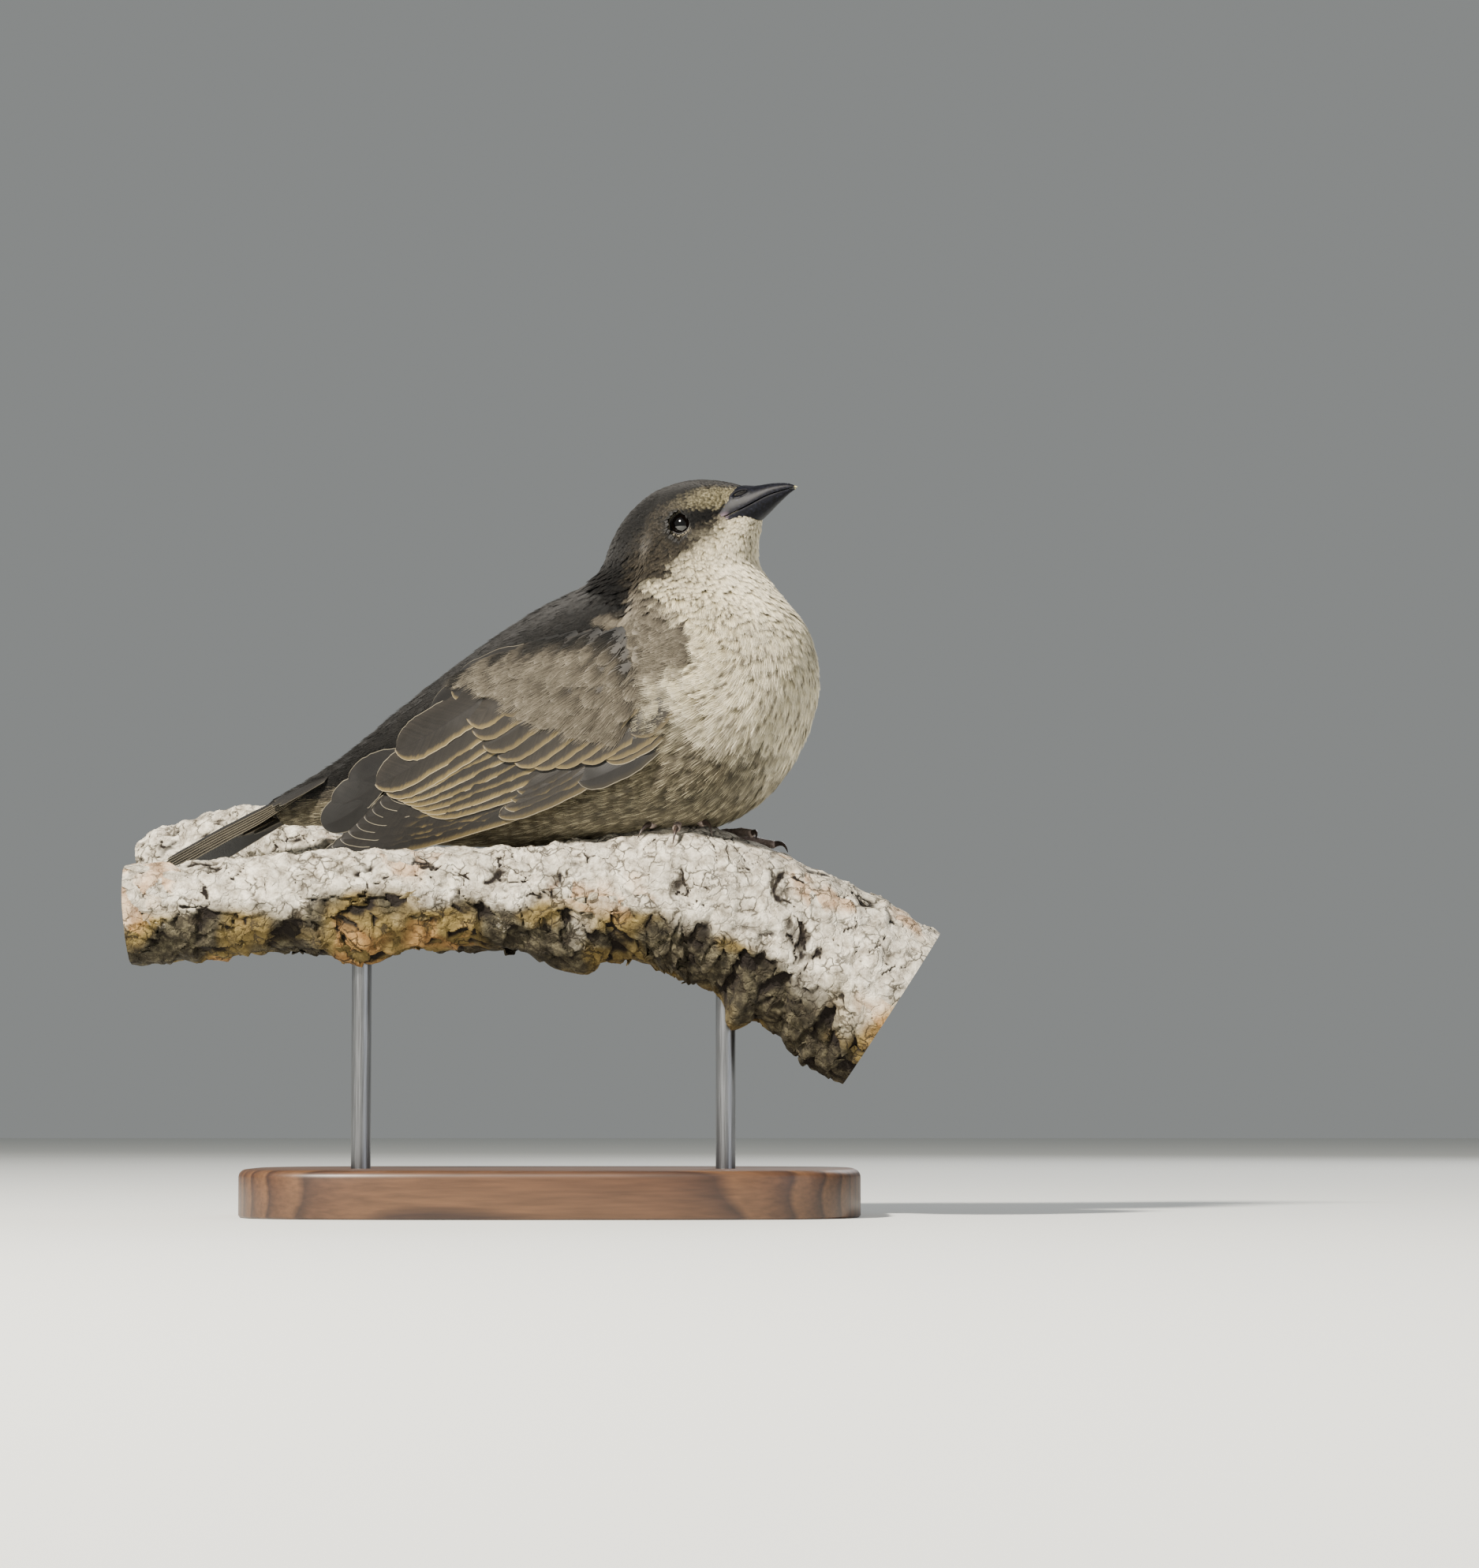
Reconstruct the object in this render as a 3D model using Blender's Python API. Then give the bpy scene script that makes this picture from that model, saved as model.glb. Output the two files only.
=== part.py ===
"""A life-size young starling crouched on a cut length of branch, on a plain display stand.

Sizes are in millimetres in the bird's own frame (forward, left, up) and are turned to metres when a mesh is made.
The bird's frame hangs on an empty that stands on the branch, so the whole bird is turned and placed by that empty.
"""

import math

import bmesh
import bpy
import numpy as np
from mathutils import Matrix, Vector
from mathutils.bvhtree import BVHTree

MM = 0.001
GAP = 0.3  # clearance between two solids that touch
FLAT = math.radians(0.7)  # faces that turn less than this are one flat face

# The bird's place: its frame stands on the branch, and its heading turns from +X towards -Y
BIRD_AT = (35.6, -8.0, 80.0)
BIRD_TURN = math.radians(-22.0)
HEAD_TURN = math.radians(8.0)  # the head turns further to the bird's right

# Ribs of the flesh from the rump to the bill: back (forward, up), belly (forward, up), half width
RIBS = (
    ("vent", -119.0, 28.0, -115.0, 21.5, 3.6),
    ("tail_root", -101.0, 37.0, -97.5, 20.5, 8.5),
    ("rump", -91.0, 43.5, -83.0, 17.0, 13.0),
    ("loin", -79.5, 51.5, -63.0, 14.8, 18.5),
    ("low_back", -66.0, 60.6, -41.0, 14.6, 23.0),
    ("mid_back", -52.0, 69.4, -17.0, 16.2, 26.5),
    ("mantle", -41.0, 75.3, 7.0, 19.0, 28.6),
    ("shoulder", -34.0, 78.3, 22.5, 30.5, 29.2),
    ("chest", -29.5, 80.2, 31.6, 50.0, 27.6),
    ("neck_root", -27.2, 82.0, 30.0, 66.5, 23.0),
    ("neck", -25.0, 84.6, 22.2, 77.5, 18.0),
    ("nape", -23.8, 88.6, 17.6, 84.0, 15.0),
    ("hind_head", -21.8, 93.6, 17.6, 88.0, 13.2),
    ("ear", -17.4, 99.2, 18.0, 90.6, 12.2),
    ("brow", -10.2, 104.2, 18.7, 92.2, 11.0),
    ("lores", -0.6, 106.6, 19.1, 93.7, 9.3),
    ("forehead", 8.0, 106.1, 19.3, 94.9, 7.0),
    ("bill_base", 15.0, 104.3, 19.5, 96.0, 4.3),
)
RIB = {name: k for k, (name, *_) in enumerate(RIBS)}
SECTION_POWER = 2.15  # 2 is an ellipse, more is boxier
WIDEST_DROP = 0.10  # how far below the middle a section is widest, as a share of its half height
AROUND = 30
RINGS_PER_RIB = 2.3

# The lores draw in beside the bill: centre (forward, up), reach, share of the width
LORES = (14.0, 96.0, 5.8, 0.34)

# The folded wing lies in a shallow bed in the torso's side
WING_BED = 3.0
WING_FRONT = 9.0
WING_LOW = (34.9, 0.499, 0.0028)  # height of the wing's lower edge = a + b f + c f^2
ROOT_SUNK = 0.25  # share of its height that a vane has at its root
WING_LIFT = 0.95  # the innermost vanes' height over the bed, which keeps their chords clear of it

# Stations of the bill from the gape to the tip: culmen, cutting edge, lower edge (forward, up), half width
BILL = (
    (9.5, 102.0, 9.4, 95.0, 11.6, 91.8, 6.9),
    (14.5, 104.3, 13.8, 96.3, 15.6, 93.4, 6.1),
    (19.0, 104.1, 18.3, 98.4, 19.8, 95.7, 4.7),
    (24.0, 104.4, 23.3, 101.0, 24.4, 99.0, 3.0),
    (28.2, 104.1, 27.6, 102.4, 27.9, 101.4, 1.4),
    (30.5, 103.1, 30.1, 102.85, 30.1, 102.55, 0.35),
)
NOSTRIL = (16.3, 101.9, 2.0, 0.85)  # forward, up, half length, half height

EYE_AT = (1.8, 94.5)  # forward, up, as seen from the side
EYE_RADIUS = 3.4
EYE_SINK = 2.0  # the eye's centre lies this deep under the feathers
LID_RADIUS = 2.95
LID_THICK = 0.5

# Branch stations along X: x, z, radius. Its axis lies in the plane y = BRANCH_Y
BRANCH_Y = -8.0
BRANCH = (
    (-107.0, 76.0, 12.9),
    (-80.0, 78.0, 12.2),
    (-50.0, 80.0, 12.2),
    (-20.0, 80.5, 12.4),
    (0.0, 79.6, 13.9),
    (16.0, 80.4, 15.8),
    (33.0, 80.2, 18.9),
    (48.0, 74.8, 19.5),
    (66.0, 65.3, 20.6),
    (86.0, 52.4, 22.6),
)
# The side limb that forks off behind the bird: x, y, z, radius
LIMB = (
    (-12.0, 8.0, 78.5, 11.0),
    (-32.0, 32.0, 80.5, 11.6),
    (-50.0, 50.0, 84.5, 11.6),
    (-65.0, 58.5, 90.0, 11.5),
    (-80.0, 65.0, 96.5, 11.4),
    (-94.0, 70.0, 96.0, 11.0),
    (-111.0, 75.0, 90.0, 10.6),
)
BARK_RELIEF = 0.55
BRANCH_RINGS = 33
# Scabs of loose bark that hang under the branch: x, angle round it, reach along, reach round, height
SCABS = (
    (-48.0, -72.0, 12.0, 34.0, 4.6),
    (5.0, -80.0, 6.5, 30.0, 4.2),
    (57.0, -75.0, 4.5, 20.0, 6.5),
    (78.0, -88.0, 5.0, 24.0, 3.0),
)
FEET_X = 37.0  # the bark is smooth where the feet grip

BASE_SIZE = (156.0, 104.0, 12.0)
BASE_CORNER = 4.0  # power of the rounded rectangle
ROD_RADIUS = 2.5
ROD_X = (-48.0, 44.0)
ROD_SOCKET = 8.0

# Feet: place along the branch, angle round it, toe headings (0 is +X, -90 is towards -Y), toe lengths, how
# far each toe turns along its length, and the hind toe's length
FEET = {
    "foot_right": (30.0, 2.0, (-58.0, -86.0, -118.0), (8.5, 11.5, 9.0), -10.0, 4.0),
    "foot_left": (36.5, 30.0, (-50.0, -22.0, 6.0), (12.0, 13.0, 10.5), -28.0, 8.0),
}
TOE_RADIUS = 1.25
CLAW_LENGTH = 5.0
TARSUS_RADIUS = 1.5
TARSUS_LENGTH = 6.0


def smooth_step(x):
    """0 below 0, 1 above 1, and an S curve between."""
    x = np.clip(x, 0.0, 1.0)
    return x * x * (3.0 - 2.0 * x)


def through(rows, t):
    """Catmull-Rom spline through the rows of numbers at parameter t, counted in rows."""
    rows = np.asarray(rows, float)
    t = np.clip(np.atleast_1d(np.asarray(t, float)), 0.0, len(rows) - 1.0)
    k = np.minimum(t.astype(int), len(rows) - 2)
    u = (t - k)[:, None]
    before = rows[np.maximum(k - 1, 0)]
    start, end = rows[k], rows[k + 1]
    after = rows[np.minimum(k + 2, len(rows) - 1)]
    return 0.5 * (
        2.0 * start
        + (end - before) * u
        + (2.0 * before - 5.0 * start + 4.0 * end - after) * u**2
        + (3.0 * start - before - 3.0 * end + after) * u**3
    )


def power(x, exponent):
    """A signed power, which gives a superellipse its roundness."""
    return np.sign(x) * np.abs(x) ** exponent


def wing_low(f):
    """Height of the folded wing's lower edge at the distance f forward."""
    return WING_LOW[0] + WING_LOW[1] * f + WING_LOW[2] * f * f


def flesh_ring(t, bed=True):
    """Points round the body at each rib parameter t: an ellipse-like section from back to belly."""
    spine = through([r[1:] for r in RIBS], t)
    a = np.linspace(0.0, 2.0 * math.pi, AROUND, endpoint=False)
    up = power(np.cos(a), 2.0 / SECTION_POWER)
    side = power(np.sin(a), 2.0 / SECTION_POWER)
    back, belly, half = spine[:, 0:2], spine[:, 2:4], spine[:, 4:5]
    middle, axis = (back + belly) / 2.0, (back - belly) / 2.0
    rise = up[None, :] - WIDEST_DROP * np.sin(a)[None, :] ** 2
    f = middle[:, 0:1] + axis[:, 0:1] * rise
    z = middle[:, 1:2] + axis[:, 1:2] * rise
    width = half * side[None, :]
    lf, lz, reach, share = LORES
    width = width * (1.0 - share * np.exp(-((f - lf) ** 2 + (z - lz) ** 2) / reach**2))
    if bed:
        front = smooth_step((WING_FRONT + 10.0 - f) / 10.0)
        low = smooth_step((z - wing_low(f) + 4.0) / 6.0)
        top = smooth_step((np.abs(width) - 4.0) / 9.0)
        width = width - np.sign(width) * WING_BED * front * low * top
    turn = HEAD_TURN * smooth_step((np.asarray(t) - RIB["chest"]) / 3.5)[:, None]
    return np.stack([f * np.cos(turn) + width * np.sin(turn), width * np.cos(turn) - f * np.sin(turn), z], axis=-1)


def head_turned(points):
    """Turns points of the head, given as if it looked straight ahead, to where the head looks."""
    points = np.asarray(points, float)
    c, s = math.cos(HEAD_TURN), math.sin(HEAD_TURN)
    f, side, z = points[..., 0], points[..., 1], points[..., 2]
    return np.stack([f * c + side * s, side * c - f * s, z], axis=-1)


def lofted(rings):
    """Closed triangle mesh over a stack of rings, with a fan on each end. Rings run the way that faces point out."""
    count, around = rings.shape[:2]
    points = list(rings.reshape(-1, 3)) + [rings[0].mean(0), rings[-1].mean(0)]
    faces = []
    for i in range(count - 1):
        for j in range(around):
            k = (j + 1) % around
            a, b = i * around + j, i * around + k
            c, d = a + around, b + around
            faces += [(a, b, d), (a, d, c)]
    first, last = count * around, count * around + 1
    for j in range(around):
        k = (j + 1) % around
        faces += [(first, k, j), (last, (count - 1) * around + j, (count - 1) * around + k)]
    return points, faces


def material(name, colour, roughness, metallic=0.0):
    """A plain finish, its colour given in linear light."""
    found = bpy.data.materials.get(name) or bpy.data.materials.new(name)
    found.use_nodes = True
    shader = found.node_tree.nodes["Principled BSDF"]
    shader.inputs["Base Color"].default_value = (*colour, 1.0)
    shader.inputs["Roughness"].default_value = roughness
    shader.inputs["Metallic"].default_value = metallic
    found.diffuse_color = (*colour, 1.0)
    return found


FINISHES = {
    "plumage_pale": ((0.42, 0.37, 0.29), 0.85),
    "plumage_brown": ((0.10, 0.08, 0.065), 0.75),
    "wing_brown": ((0.075, 0.058, 0.045), 0.6),
    "bill_horn": ((0.03, 0.03, 0.04), 0.4),
    "eye_dark": ((0.008, 0.007, 0.009), 0.05),
    "foot_skin": ((0.16, 0.12, 0.11), 0.6),
    "bark": ((0.30, 0.27, 0.24), 0.95),
    "base_wood": ((0.12, 0.07, 0.04), 0.5),
    "rod_steel": ((0.45, 0.45, 0.46), 0.35, 1.0),
}


def solid(name, points, faces, finish, parent=None):
    """A mesh object from points in millimetres, with its faces turned outwards."""
    mesh = bpy.data.meshes.new(name)
    mesh.from_pydata([tuple(float(c) * MM for c in p) for p in points], [], faces)
    work = bmesh.new()
    work.from_mesh(mesh)
    bmesh.ops.recalc_face_normals(work, faces=work.faces)
    work.to_mesh(mesh)
    work.free()
    mesh.materials.append(material(finish, *FINISHES[finish]))
    made = bpy.data.objects.new(name, mesh)
    bpy.context.scene.collection.objects.link(made)
    made.parent = parent
    return made


def shells_of(work):
    """Lists of the faces of each connected surface, the largest first."""
    left, shells = set(work.faces), []
    while left:
        stack = [left.pop()]
        shell = []
        while stack:
            face = stack.pop()
            shell.append(face)
            for edge in face.edges:
                for other in edge.link_faces:
                    if other in left:
                        left.remove(other)
                        stack.append(other)
        shells.append(shell)
    return sorted(shells, key=lambda shell: -sum(f.calc_area() for f in shell))


def largest_shell(made):
    """Keeps the largest closed surface of an object, with flat patches that a Boolean has cut up joined again."""
    for flat in (FLAT, 0.0):
        work = bmesh.new()
        work.from_mesh(made.data)
        if flat:
            bmesh.ops.dissolve_limit(work, angle_limit=flat, verts=work.verts, edges=work.edges)
        bmesh.ops.triangulate(work, faces=work.faces)
        loose = [f for shell in shells_of(work)[1:] for f in shell]
        bmesh.ops.delete(work, geom=loose, context="FACES")
        closed = all(len(e.link_faces) == 2 for e in work.edges)
        if closed or not flat:
            work.to_mesh(made.data)
        work.free()
        if closed:
            break
    return made


def combined(base, others, operation, solver="EXACT"):
    """Applies one Boolean of base with a collection of closed objects, then removes that collection's objects."""
    group = bpy.data.collections.new("pieces")
    bpy.context.scene.collection.children.link(group)
    for piece in others:
        bpy.context.scene.collection.objects.unlink(piece)
        group.objects.link(piece)
    step = base.modifiers.new("combine", "BOOLEAN")
    step.operation = operation
    step.operand_type = "COLLECTION"
    step.collection = group
    step.solver = solver
    bpy.context.view_layer.update()
    bpy.context.view_layer.objects.active = base
    bpy.ops.object.modifier_apply(modifier=step.name)
    for piece in list(group.objects):
        bpy.data.objects.remove(piece)
    bpy.data.collections.remove(group)
    return largest_shell(base)


def flesh(name, start, end, finish, parent):
    """A length of the body between two rib parameters."""
    count = max(3, int(round((end - start) * RINGS_PER_RIB)))
    points, faces = lofted(flesh_ring(np.linspace(start, end, count + 1)))
    return solid(name, points, faces, finish, parent)


def tree_of(rings):
    """A search tree over the lofted surface, in millimetres."""
    points, faces = lofted(rings)
    return BVHTree.FromPolygons([tuple(map(float, p)) for p in points], faces)


def wing_mould():
    """The surface that the folded wings lie on: the torso, and its line carried on behind the rump."""
    stations = np.linspace(0.0, RIB["chest"], 40)
    rings = flesh_ring(stations)
    behind = rings[0].copy()
    behind[:, 0] -= 16.0
    behind[:, 1] *= 0.75
    behind[:, 2] -= 7.0
    grown = rings.copy()
    near_tail = smooth_step((stations * -1.0 + 3.0) / 3.0)[:, None]
    grown[:, :, 1] += np.sign(rings[:, :, 1]) * near_tail * 2.0
    return tree_of(np.concatenate([behind[None], grown]))


def wing_surface(tree, side):
    """Maps a point of the wing's side view (forward, up) to a place and a normal on the bed."""

    def place(f, z):
        widest = 41.0 + 0.17 * f + 0.0008 * f * f
        level = max(z, widest)
        hit, normal, _, _ = tree.ray_cast(Vector((f, side * 80.0, level)), Vector((0.0, -side, 0.0)))
        if hit is None:
            hit, normal, _, _ = tree.find_nearest(Vector((f, side * 20.0, level)))
        if normal.y * side < 0.0:
            normal = -normal
        below = level - z
        point = Vector((hit.x, hit.y - side * (0.05 * below + 0.006 * below * below), z if below > 0.0 else hit.z))
        if below > 0.0:
            normal = Vector((normal.x, normal.y, normal.z - 0.03 * below)).normalized()
        return point, normal

    return place


def vane(place, root, tip, width, bow=0.0, base=0.0, outer=1.0, inner=0.0, thick=0.6, along=5, across=1,
         start=0.55):
    """One feather as a thin closed blade: it runs from root to tip with a bow, is rounded at its tip, and is laid
    on a surface that place() gives. Its outer edge lies higher than its inner edge, so that it laps its neighbour,
    and its root is sunk to the base height."""
    root, tip = Vector(root), Vector(tip)
    run = tip - root
    across_way = Vector((run.y, -run.x)).normalized()
    if across_way.y > 0.0:
        across_way = -across_way
    steps = [k / along for k in range(along + 1)]
    points = []
    for layer in (0.0, 1.0):
        for s in steps:
            middle = root + run * s + across_way * bow * 4.0 * s * (1.0 - s)
            full = min(1.0, start + (1.0 - start) * s / 0.35)
            half = 0.5 * width * full * math.sqrt(max(0.03, 1.0 - max(0.0, (s - 0.72) / 0.28) ** 2.4))
            depth = thick * (1.0 if s < 0.8 else 1.0 - 2.2 * (s - 0.8))
            for j in range(across + 1):
                e = 2.0 * j / across - 1.0
                at = middle + across_way * e * half
                point, normal = place(at.x, at.y)
                lift = (inner + (outer - inner) * (e + 1.0) / 2.0) * (ROOT_SUNK + (1.0 - ROOT_SUNK) * min(1.0, 3.0 * s))
                points.append(point + normal * (base + lift + layer * depth))
    row = across + 1
    layer_size = row * (along + 1)
    faces = []
    for i in range(along):
        for j in range(across):
            a, b = i * row + j, i * row + j + 1
            c, d = a + row, b + row
            low = [(a, b, d), (a, d, c)]
            faces += low + [(z + layer_size, y + layer_size, x + layer_size) for x, y, z in low]
    rim = [j for j in range(row)] + [i * row + across for i in range(1, along + 1)]
    rim += [along * row + j for j in range(across - 1, -1, -1)] + [i * row for i in range(along - 1, 0, -1)]
    for k, a in enumerate(rim):
        b = rim[(k + 1) % len(rim)]
        faces += [(b, a, a + layer_size), (b, a + layer_size, b + layer_size)]
    return points, faces


def between(first, last, k):
    """A point a share k of the way from first to last."""
    return tuple(a + (b - a) * k for a, b in zip(first, last))


FAR_TIP_LIFT = 7.0  # the far wing's tip is held higher than the near one's, which has slipped down beside the tail
ARM = ((-48.0, 55.0), (9.5, 51.0), 29.0)  # root, tip and width of the wing's core
# Tiers of feathers, innermost first: name, count, roots and tips of the first and the last, their widths and bows,
# how far the tips' row sags between them, lift of the outer and the inner edge, and steps along a feather
TIERS = (
    ("primaries", 7, ((-27.0, 39.0), (-7.0, 33.0)), ((-78.0, 28.0), (-101.0, 13.8)), (8.0, 7.2), (1.4, 3.0), 0.0,
     (0.95, 0.0), 5),
    ("secondaries", 5, ((-7.0, 39.0), (-24.0, 50.0)), ((-66.0, 23.5), (-78.0, 29.5)), (8.0, 8.0), (1.6, 1.6), 0.0,
     (1.5, 0.35), 4),
    ("lower tertials", 2, ((-32.0, 53.5), (-36.0, 58.0)), ((-81.5, 30.5), (-70.5, 38.5)), (11.0, 10.5), (1.0, 1.0),
     0.0, (1.8, 0.9), 4),
    ("upper tertial", 1, ((-38.0, 62.0), (-38.0, 62.0)), ((-66.0, 48.5), (-66.0, 48.5)), (9.5, 9.5), (1.0, 1.0), 0.0,
     (2.2, 1.3), 4),
    ("primary coverts", 3, ((-16.0, 37.0), (-8.0, 34.5)), ((-43.0, 26.0), (-47.0, 20.5)), (5.6, 5.6), (1.0, 1.0), 0.0,
     (1.75, 1.1), 3),
    ("alula", 1, ((4.0, 41.0), (4.0, 41.0)), ((-24.0, 28.0), (-24.0, 28.0)), (8.0, 8.0), (1.2, 1.2), 0.0,
     (2.1, 1.3), 3),
    ("greater coverts", 6, ((-33.0, 55.0), (7.0, 45.0)), ((-53.0, 45.0), (-5.0, 36.0)), (9.4, 8.2), (0.8, 0.8), 13.0,
     (2.4, 1.35), 3),
    ("median coverts", 5, ((-26.0, 61.0), (6.0, 52.0)), ((-41.0, 54.0), (-5.0, 47.0)), (9.8, 9.8), (0.6, 0.6), 10.0,
     (2.4, 1.4), 3),
    ("scapulars", 4, ((-16.0, 62.5), (-33.0, 66.0)), ((-38.0, 55.0), (-62.0, 53.5)), (10.5, 10.5), (0.5, 0.5), 0.0,
     (1.9, 0.9), 3),
)
WIDE_TIERS = ("lower tertials", "upper tertial", "scapulars")  # these follow the wing's roundness with two steps


def wing(side, tree, parent):
    """A folded wing: an arm core, and on it the tiers of feathers, lapped and joined."""
    name = "wing_left" if side > 0 else "wing_right"
    place = wing_surface(tree, side)
    core = vane(place, *ARM, bow=1.5, base=WING_LIFT, outer=0.0, inner=0.2, thick=2.2, along=8, across=4)
    arm = solid(name, *core, "wing_brown", parent)
    blades = []
    for tier, count, roots, tips, widths, bows, sag, (outer, inner), along in TIERS:
        for k in range(count):
            share = k / max(1.0, count - 1.0)
            f, z = between(*tips, share)
            z -= sag * share * (1.0 - share)
            if tier == "primaries" and side > 0.0:
                z += FAR_TIP_LIFT * share
            width = widths[0] + (widths[1] - widths[0]) * share
            bow = bows[0] + (bows[1] - bows[0]) * share
            points, faces = vane(place, between(*roots, share), (f, z), width, bow=bow, base=WING_LIFT, outer=outer,
                                 inner=inner, along=along, across=2 if tier in WIDE_TIERS else 1)
            blades.append(solid("vane", points, faces, "wing_brown", parent))
    return combined(arm, blades, "UNION", "MANIFOLD")


TAIL_ROOT = (-101.8, 34.8)
TAIL_PITCH = math.radians(22.5)
TAIL_LENGTH = 51.0
TAIL_ARCH = (0.74, 2.5)  # slope of the tail's sides, and the rounding of its ridge
TAIL_ROLL = math.radians(5.0)
TAIL_DROOP = 0.0014


def tail_place(u, v):
    """Place and normal on the tail's roof, u back along it and v to the bird's left."""
    slope, ridge = TAIL_ARCH
    rounded = math.sqrt(v * v + ridge * ridge)
    height = slope * (ridge - rounded) - TAIL_DROOP * max(0.0, u - 22.0) ** 2 + v * math.tan(TAIL_ROLL)
    back, down = math.cos(TAIL_PITCH), math.sin(TAIL_PITCH)
    point = Vector((TAIL_ROOT[0] - u * back + height * down, v, TAIL_ROOT[1] - u * down + height * back))
    return point, Vector((down, slope * v / rounded, back)).normalized()


def tail(parent):
    """The folded tail: six pairs of rectrices under the middle pair, with coverts above and below its root."""
    points, faces = lofted(flesh_ring(np.linspace(0.0, RIB["tail_root"] - 0.03, 5)))
    stub = solid("tail", points, faces, "wing_brown", parent)
    blades = []

    def add(root, tip, width, lift, thick=0.6, along=4, across=1):
        points, faces = vane(tail_place, root, tip, width, outer=lift, inner=lift, thick=thick,
                             along=along, across=across)
        blades.append(solid("vane", points, faces, "wing_brown", parent))

    pairs = 6
    for k in range(pairs):
        for side in (-1.0, 1.0):
            root = (0.8, side * (0.7 + 0.6 * k))
            tip = (TAIL_LENGTH - 0.9 * k, side * (1.3 + 1.5 * k))
            add(root, tip, 7.6, -0.7 - 0.40 * k - (0.2 if side > 0 else 0.0), across=2 if k == 0 else 1)
    for row, side in ((0, 0.0), (1, -1.0), (1, 1.0)):
        add((0.8, side * 3.2 * row), (20.0 - 4.0 * row, side * (4.6 * row + 0.3)), 9.0, -0.5 - 0.3 * row, thick=1.0,
            along=3)
    add((2.0, 0.3), (28.0, 0.4), 10.0, -6.8, thick=2.0, along=3, across=2)
    return combined(stub, blades, "UNION", "MANIFOLD")


def bill_rings(upper, grow=0.0):
    """Rings of one mandible: an arch over the culmen, or under the gonys, closed by a flat face along the gape."""
    t = np.linspace(0.0, len(BILL) - 1.0, 11)
    rows = through(BILL, t)
    ahead = np.array([math.cos(math.radians(25.0)), math.sin(math.radians(25.0))] * 3)
    rows[0, 0:6] -= grow * ahead
    rows[-1, 0:6] += grow * ahead
    edge = rows[:, 2:4]
    ridge = rows[:, 0:2] if upper else rows[:, 4:6]
    half = rows[:, 6:7] + grow - (0.0 if upper else 0.25)
    a = np.linspace(0.0, math.pi, 11)
    rise = np.concatenate([power(np.sin(a), 0.85), [0.0]])
    side = np.concatenate([np.cos(a), [0.0]])
    reach = ridge - edge
    length = np.linalg.norm(reach, axis=1, keepdims=True)
    unit = reach / length
    start = edge + unit * (GAP / 2.0 - grow)
    span = length - GAP / 2.0 + 2.0 * grow
    flat = start[:, None, :] + unit[:, None, :] * span[:, None, :] * rise[None, :, None]
    return head_turned(np.stack([flat[..., 0], half * side[None, :], flat[..., 1]], axis=-1))


def eye_frame(side, tree):
    """Place on the cheek's surface and outward direction of one eye."""
    f, z = EYE_AT
    turned = head_turned((f, side * 40.0, z))
    way = head_turned((0.0, -side, 0.0))
    hit, normal, _, _ = tree.ray_cast(Vector(turned), Vector(way))
    if normal.dot(Vector(way)) > 0.0:
        normal = -normal
    outward = (Vector(head_turned((0.10, side, 0.06))) * 0.3 + normal.normalized() * 0.7).normalized()
    return hit, outward


def ball(name, centre, radius, finish, parent, segments=16, rings=9):
    """A sphere of triangles."""
    work = bmesh.new()
    bmesh.ops.create_uvsphere(work, u_segments=segments, v_segments=rings, radius=radius)
    bmesh.ops.triangulate(work, faces=work.faces)
    points = [v.co + Vector(centre) for v in work.verts]
    faces = [tuple(v.index for v in f.verts) for f in work.faces]
    work.free()
    return solid(name, points, faces, finish, parent)


def nostrils(parent):
    """Two long shallow pits in the sides of the upper bill, lying along it."""
    f, z, long, high = NOSTRIL
    rows = through(BILL, 1.4)[0]
    pits = []
    for side in (-1.0, 1.0):
        centre = head_turned((f, side * 0.86 * rows[6], z))
        pit = ball("pit", (0.0, 0.0, 0.0), 1.0, "bill_horn", parent, segments=10, rings=6)
        turn = Matrix.Rotation(-HEAD_TURN, 4, "Z") @ Matrix.Rotation(math.radians(-24.0), 4, "Y")
        pit.data.transform(turn @ Matrix.Diagonal((long, 1.1, high, 1.0)))
        pit.data.transform(Matrix.Translation(Vector(centre) * MM))
        pits.append(pit)
    return pits


def ring_torus(name, centre, axis, radius, thick, finish, parent, around=16, tube=5):
    """A ring round an axis, such as an eyelid."""
    turn = axis.to_track_quat("Z", "Y")
    rings = []
    for i in range(around):
        a = 2.0 * math.pi * i / around
        for j in range(tube):
            b = 2.0 * math.pi * j / tube
            reach = radius + thick * math.cos(b)
            rings.append(centre + turn @ Vector((reach * math.cos(a), reach * math.sin(a), thick * math.sin(b))))
    faces = []
    for i in range(around):
        for j in range(tube):
            a, b = i * tube + j, i * tube + (j + 1) % tube
            c, d = ((i + 1) % around) * tube + j, ((i + 1) % around) * tube + (j + 1) % tube
            faces += [(a, c, d), (a, d, b)]
    return solid(name, rings, faces, finish, parent)


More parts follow.
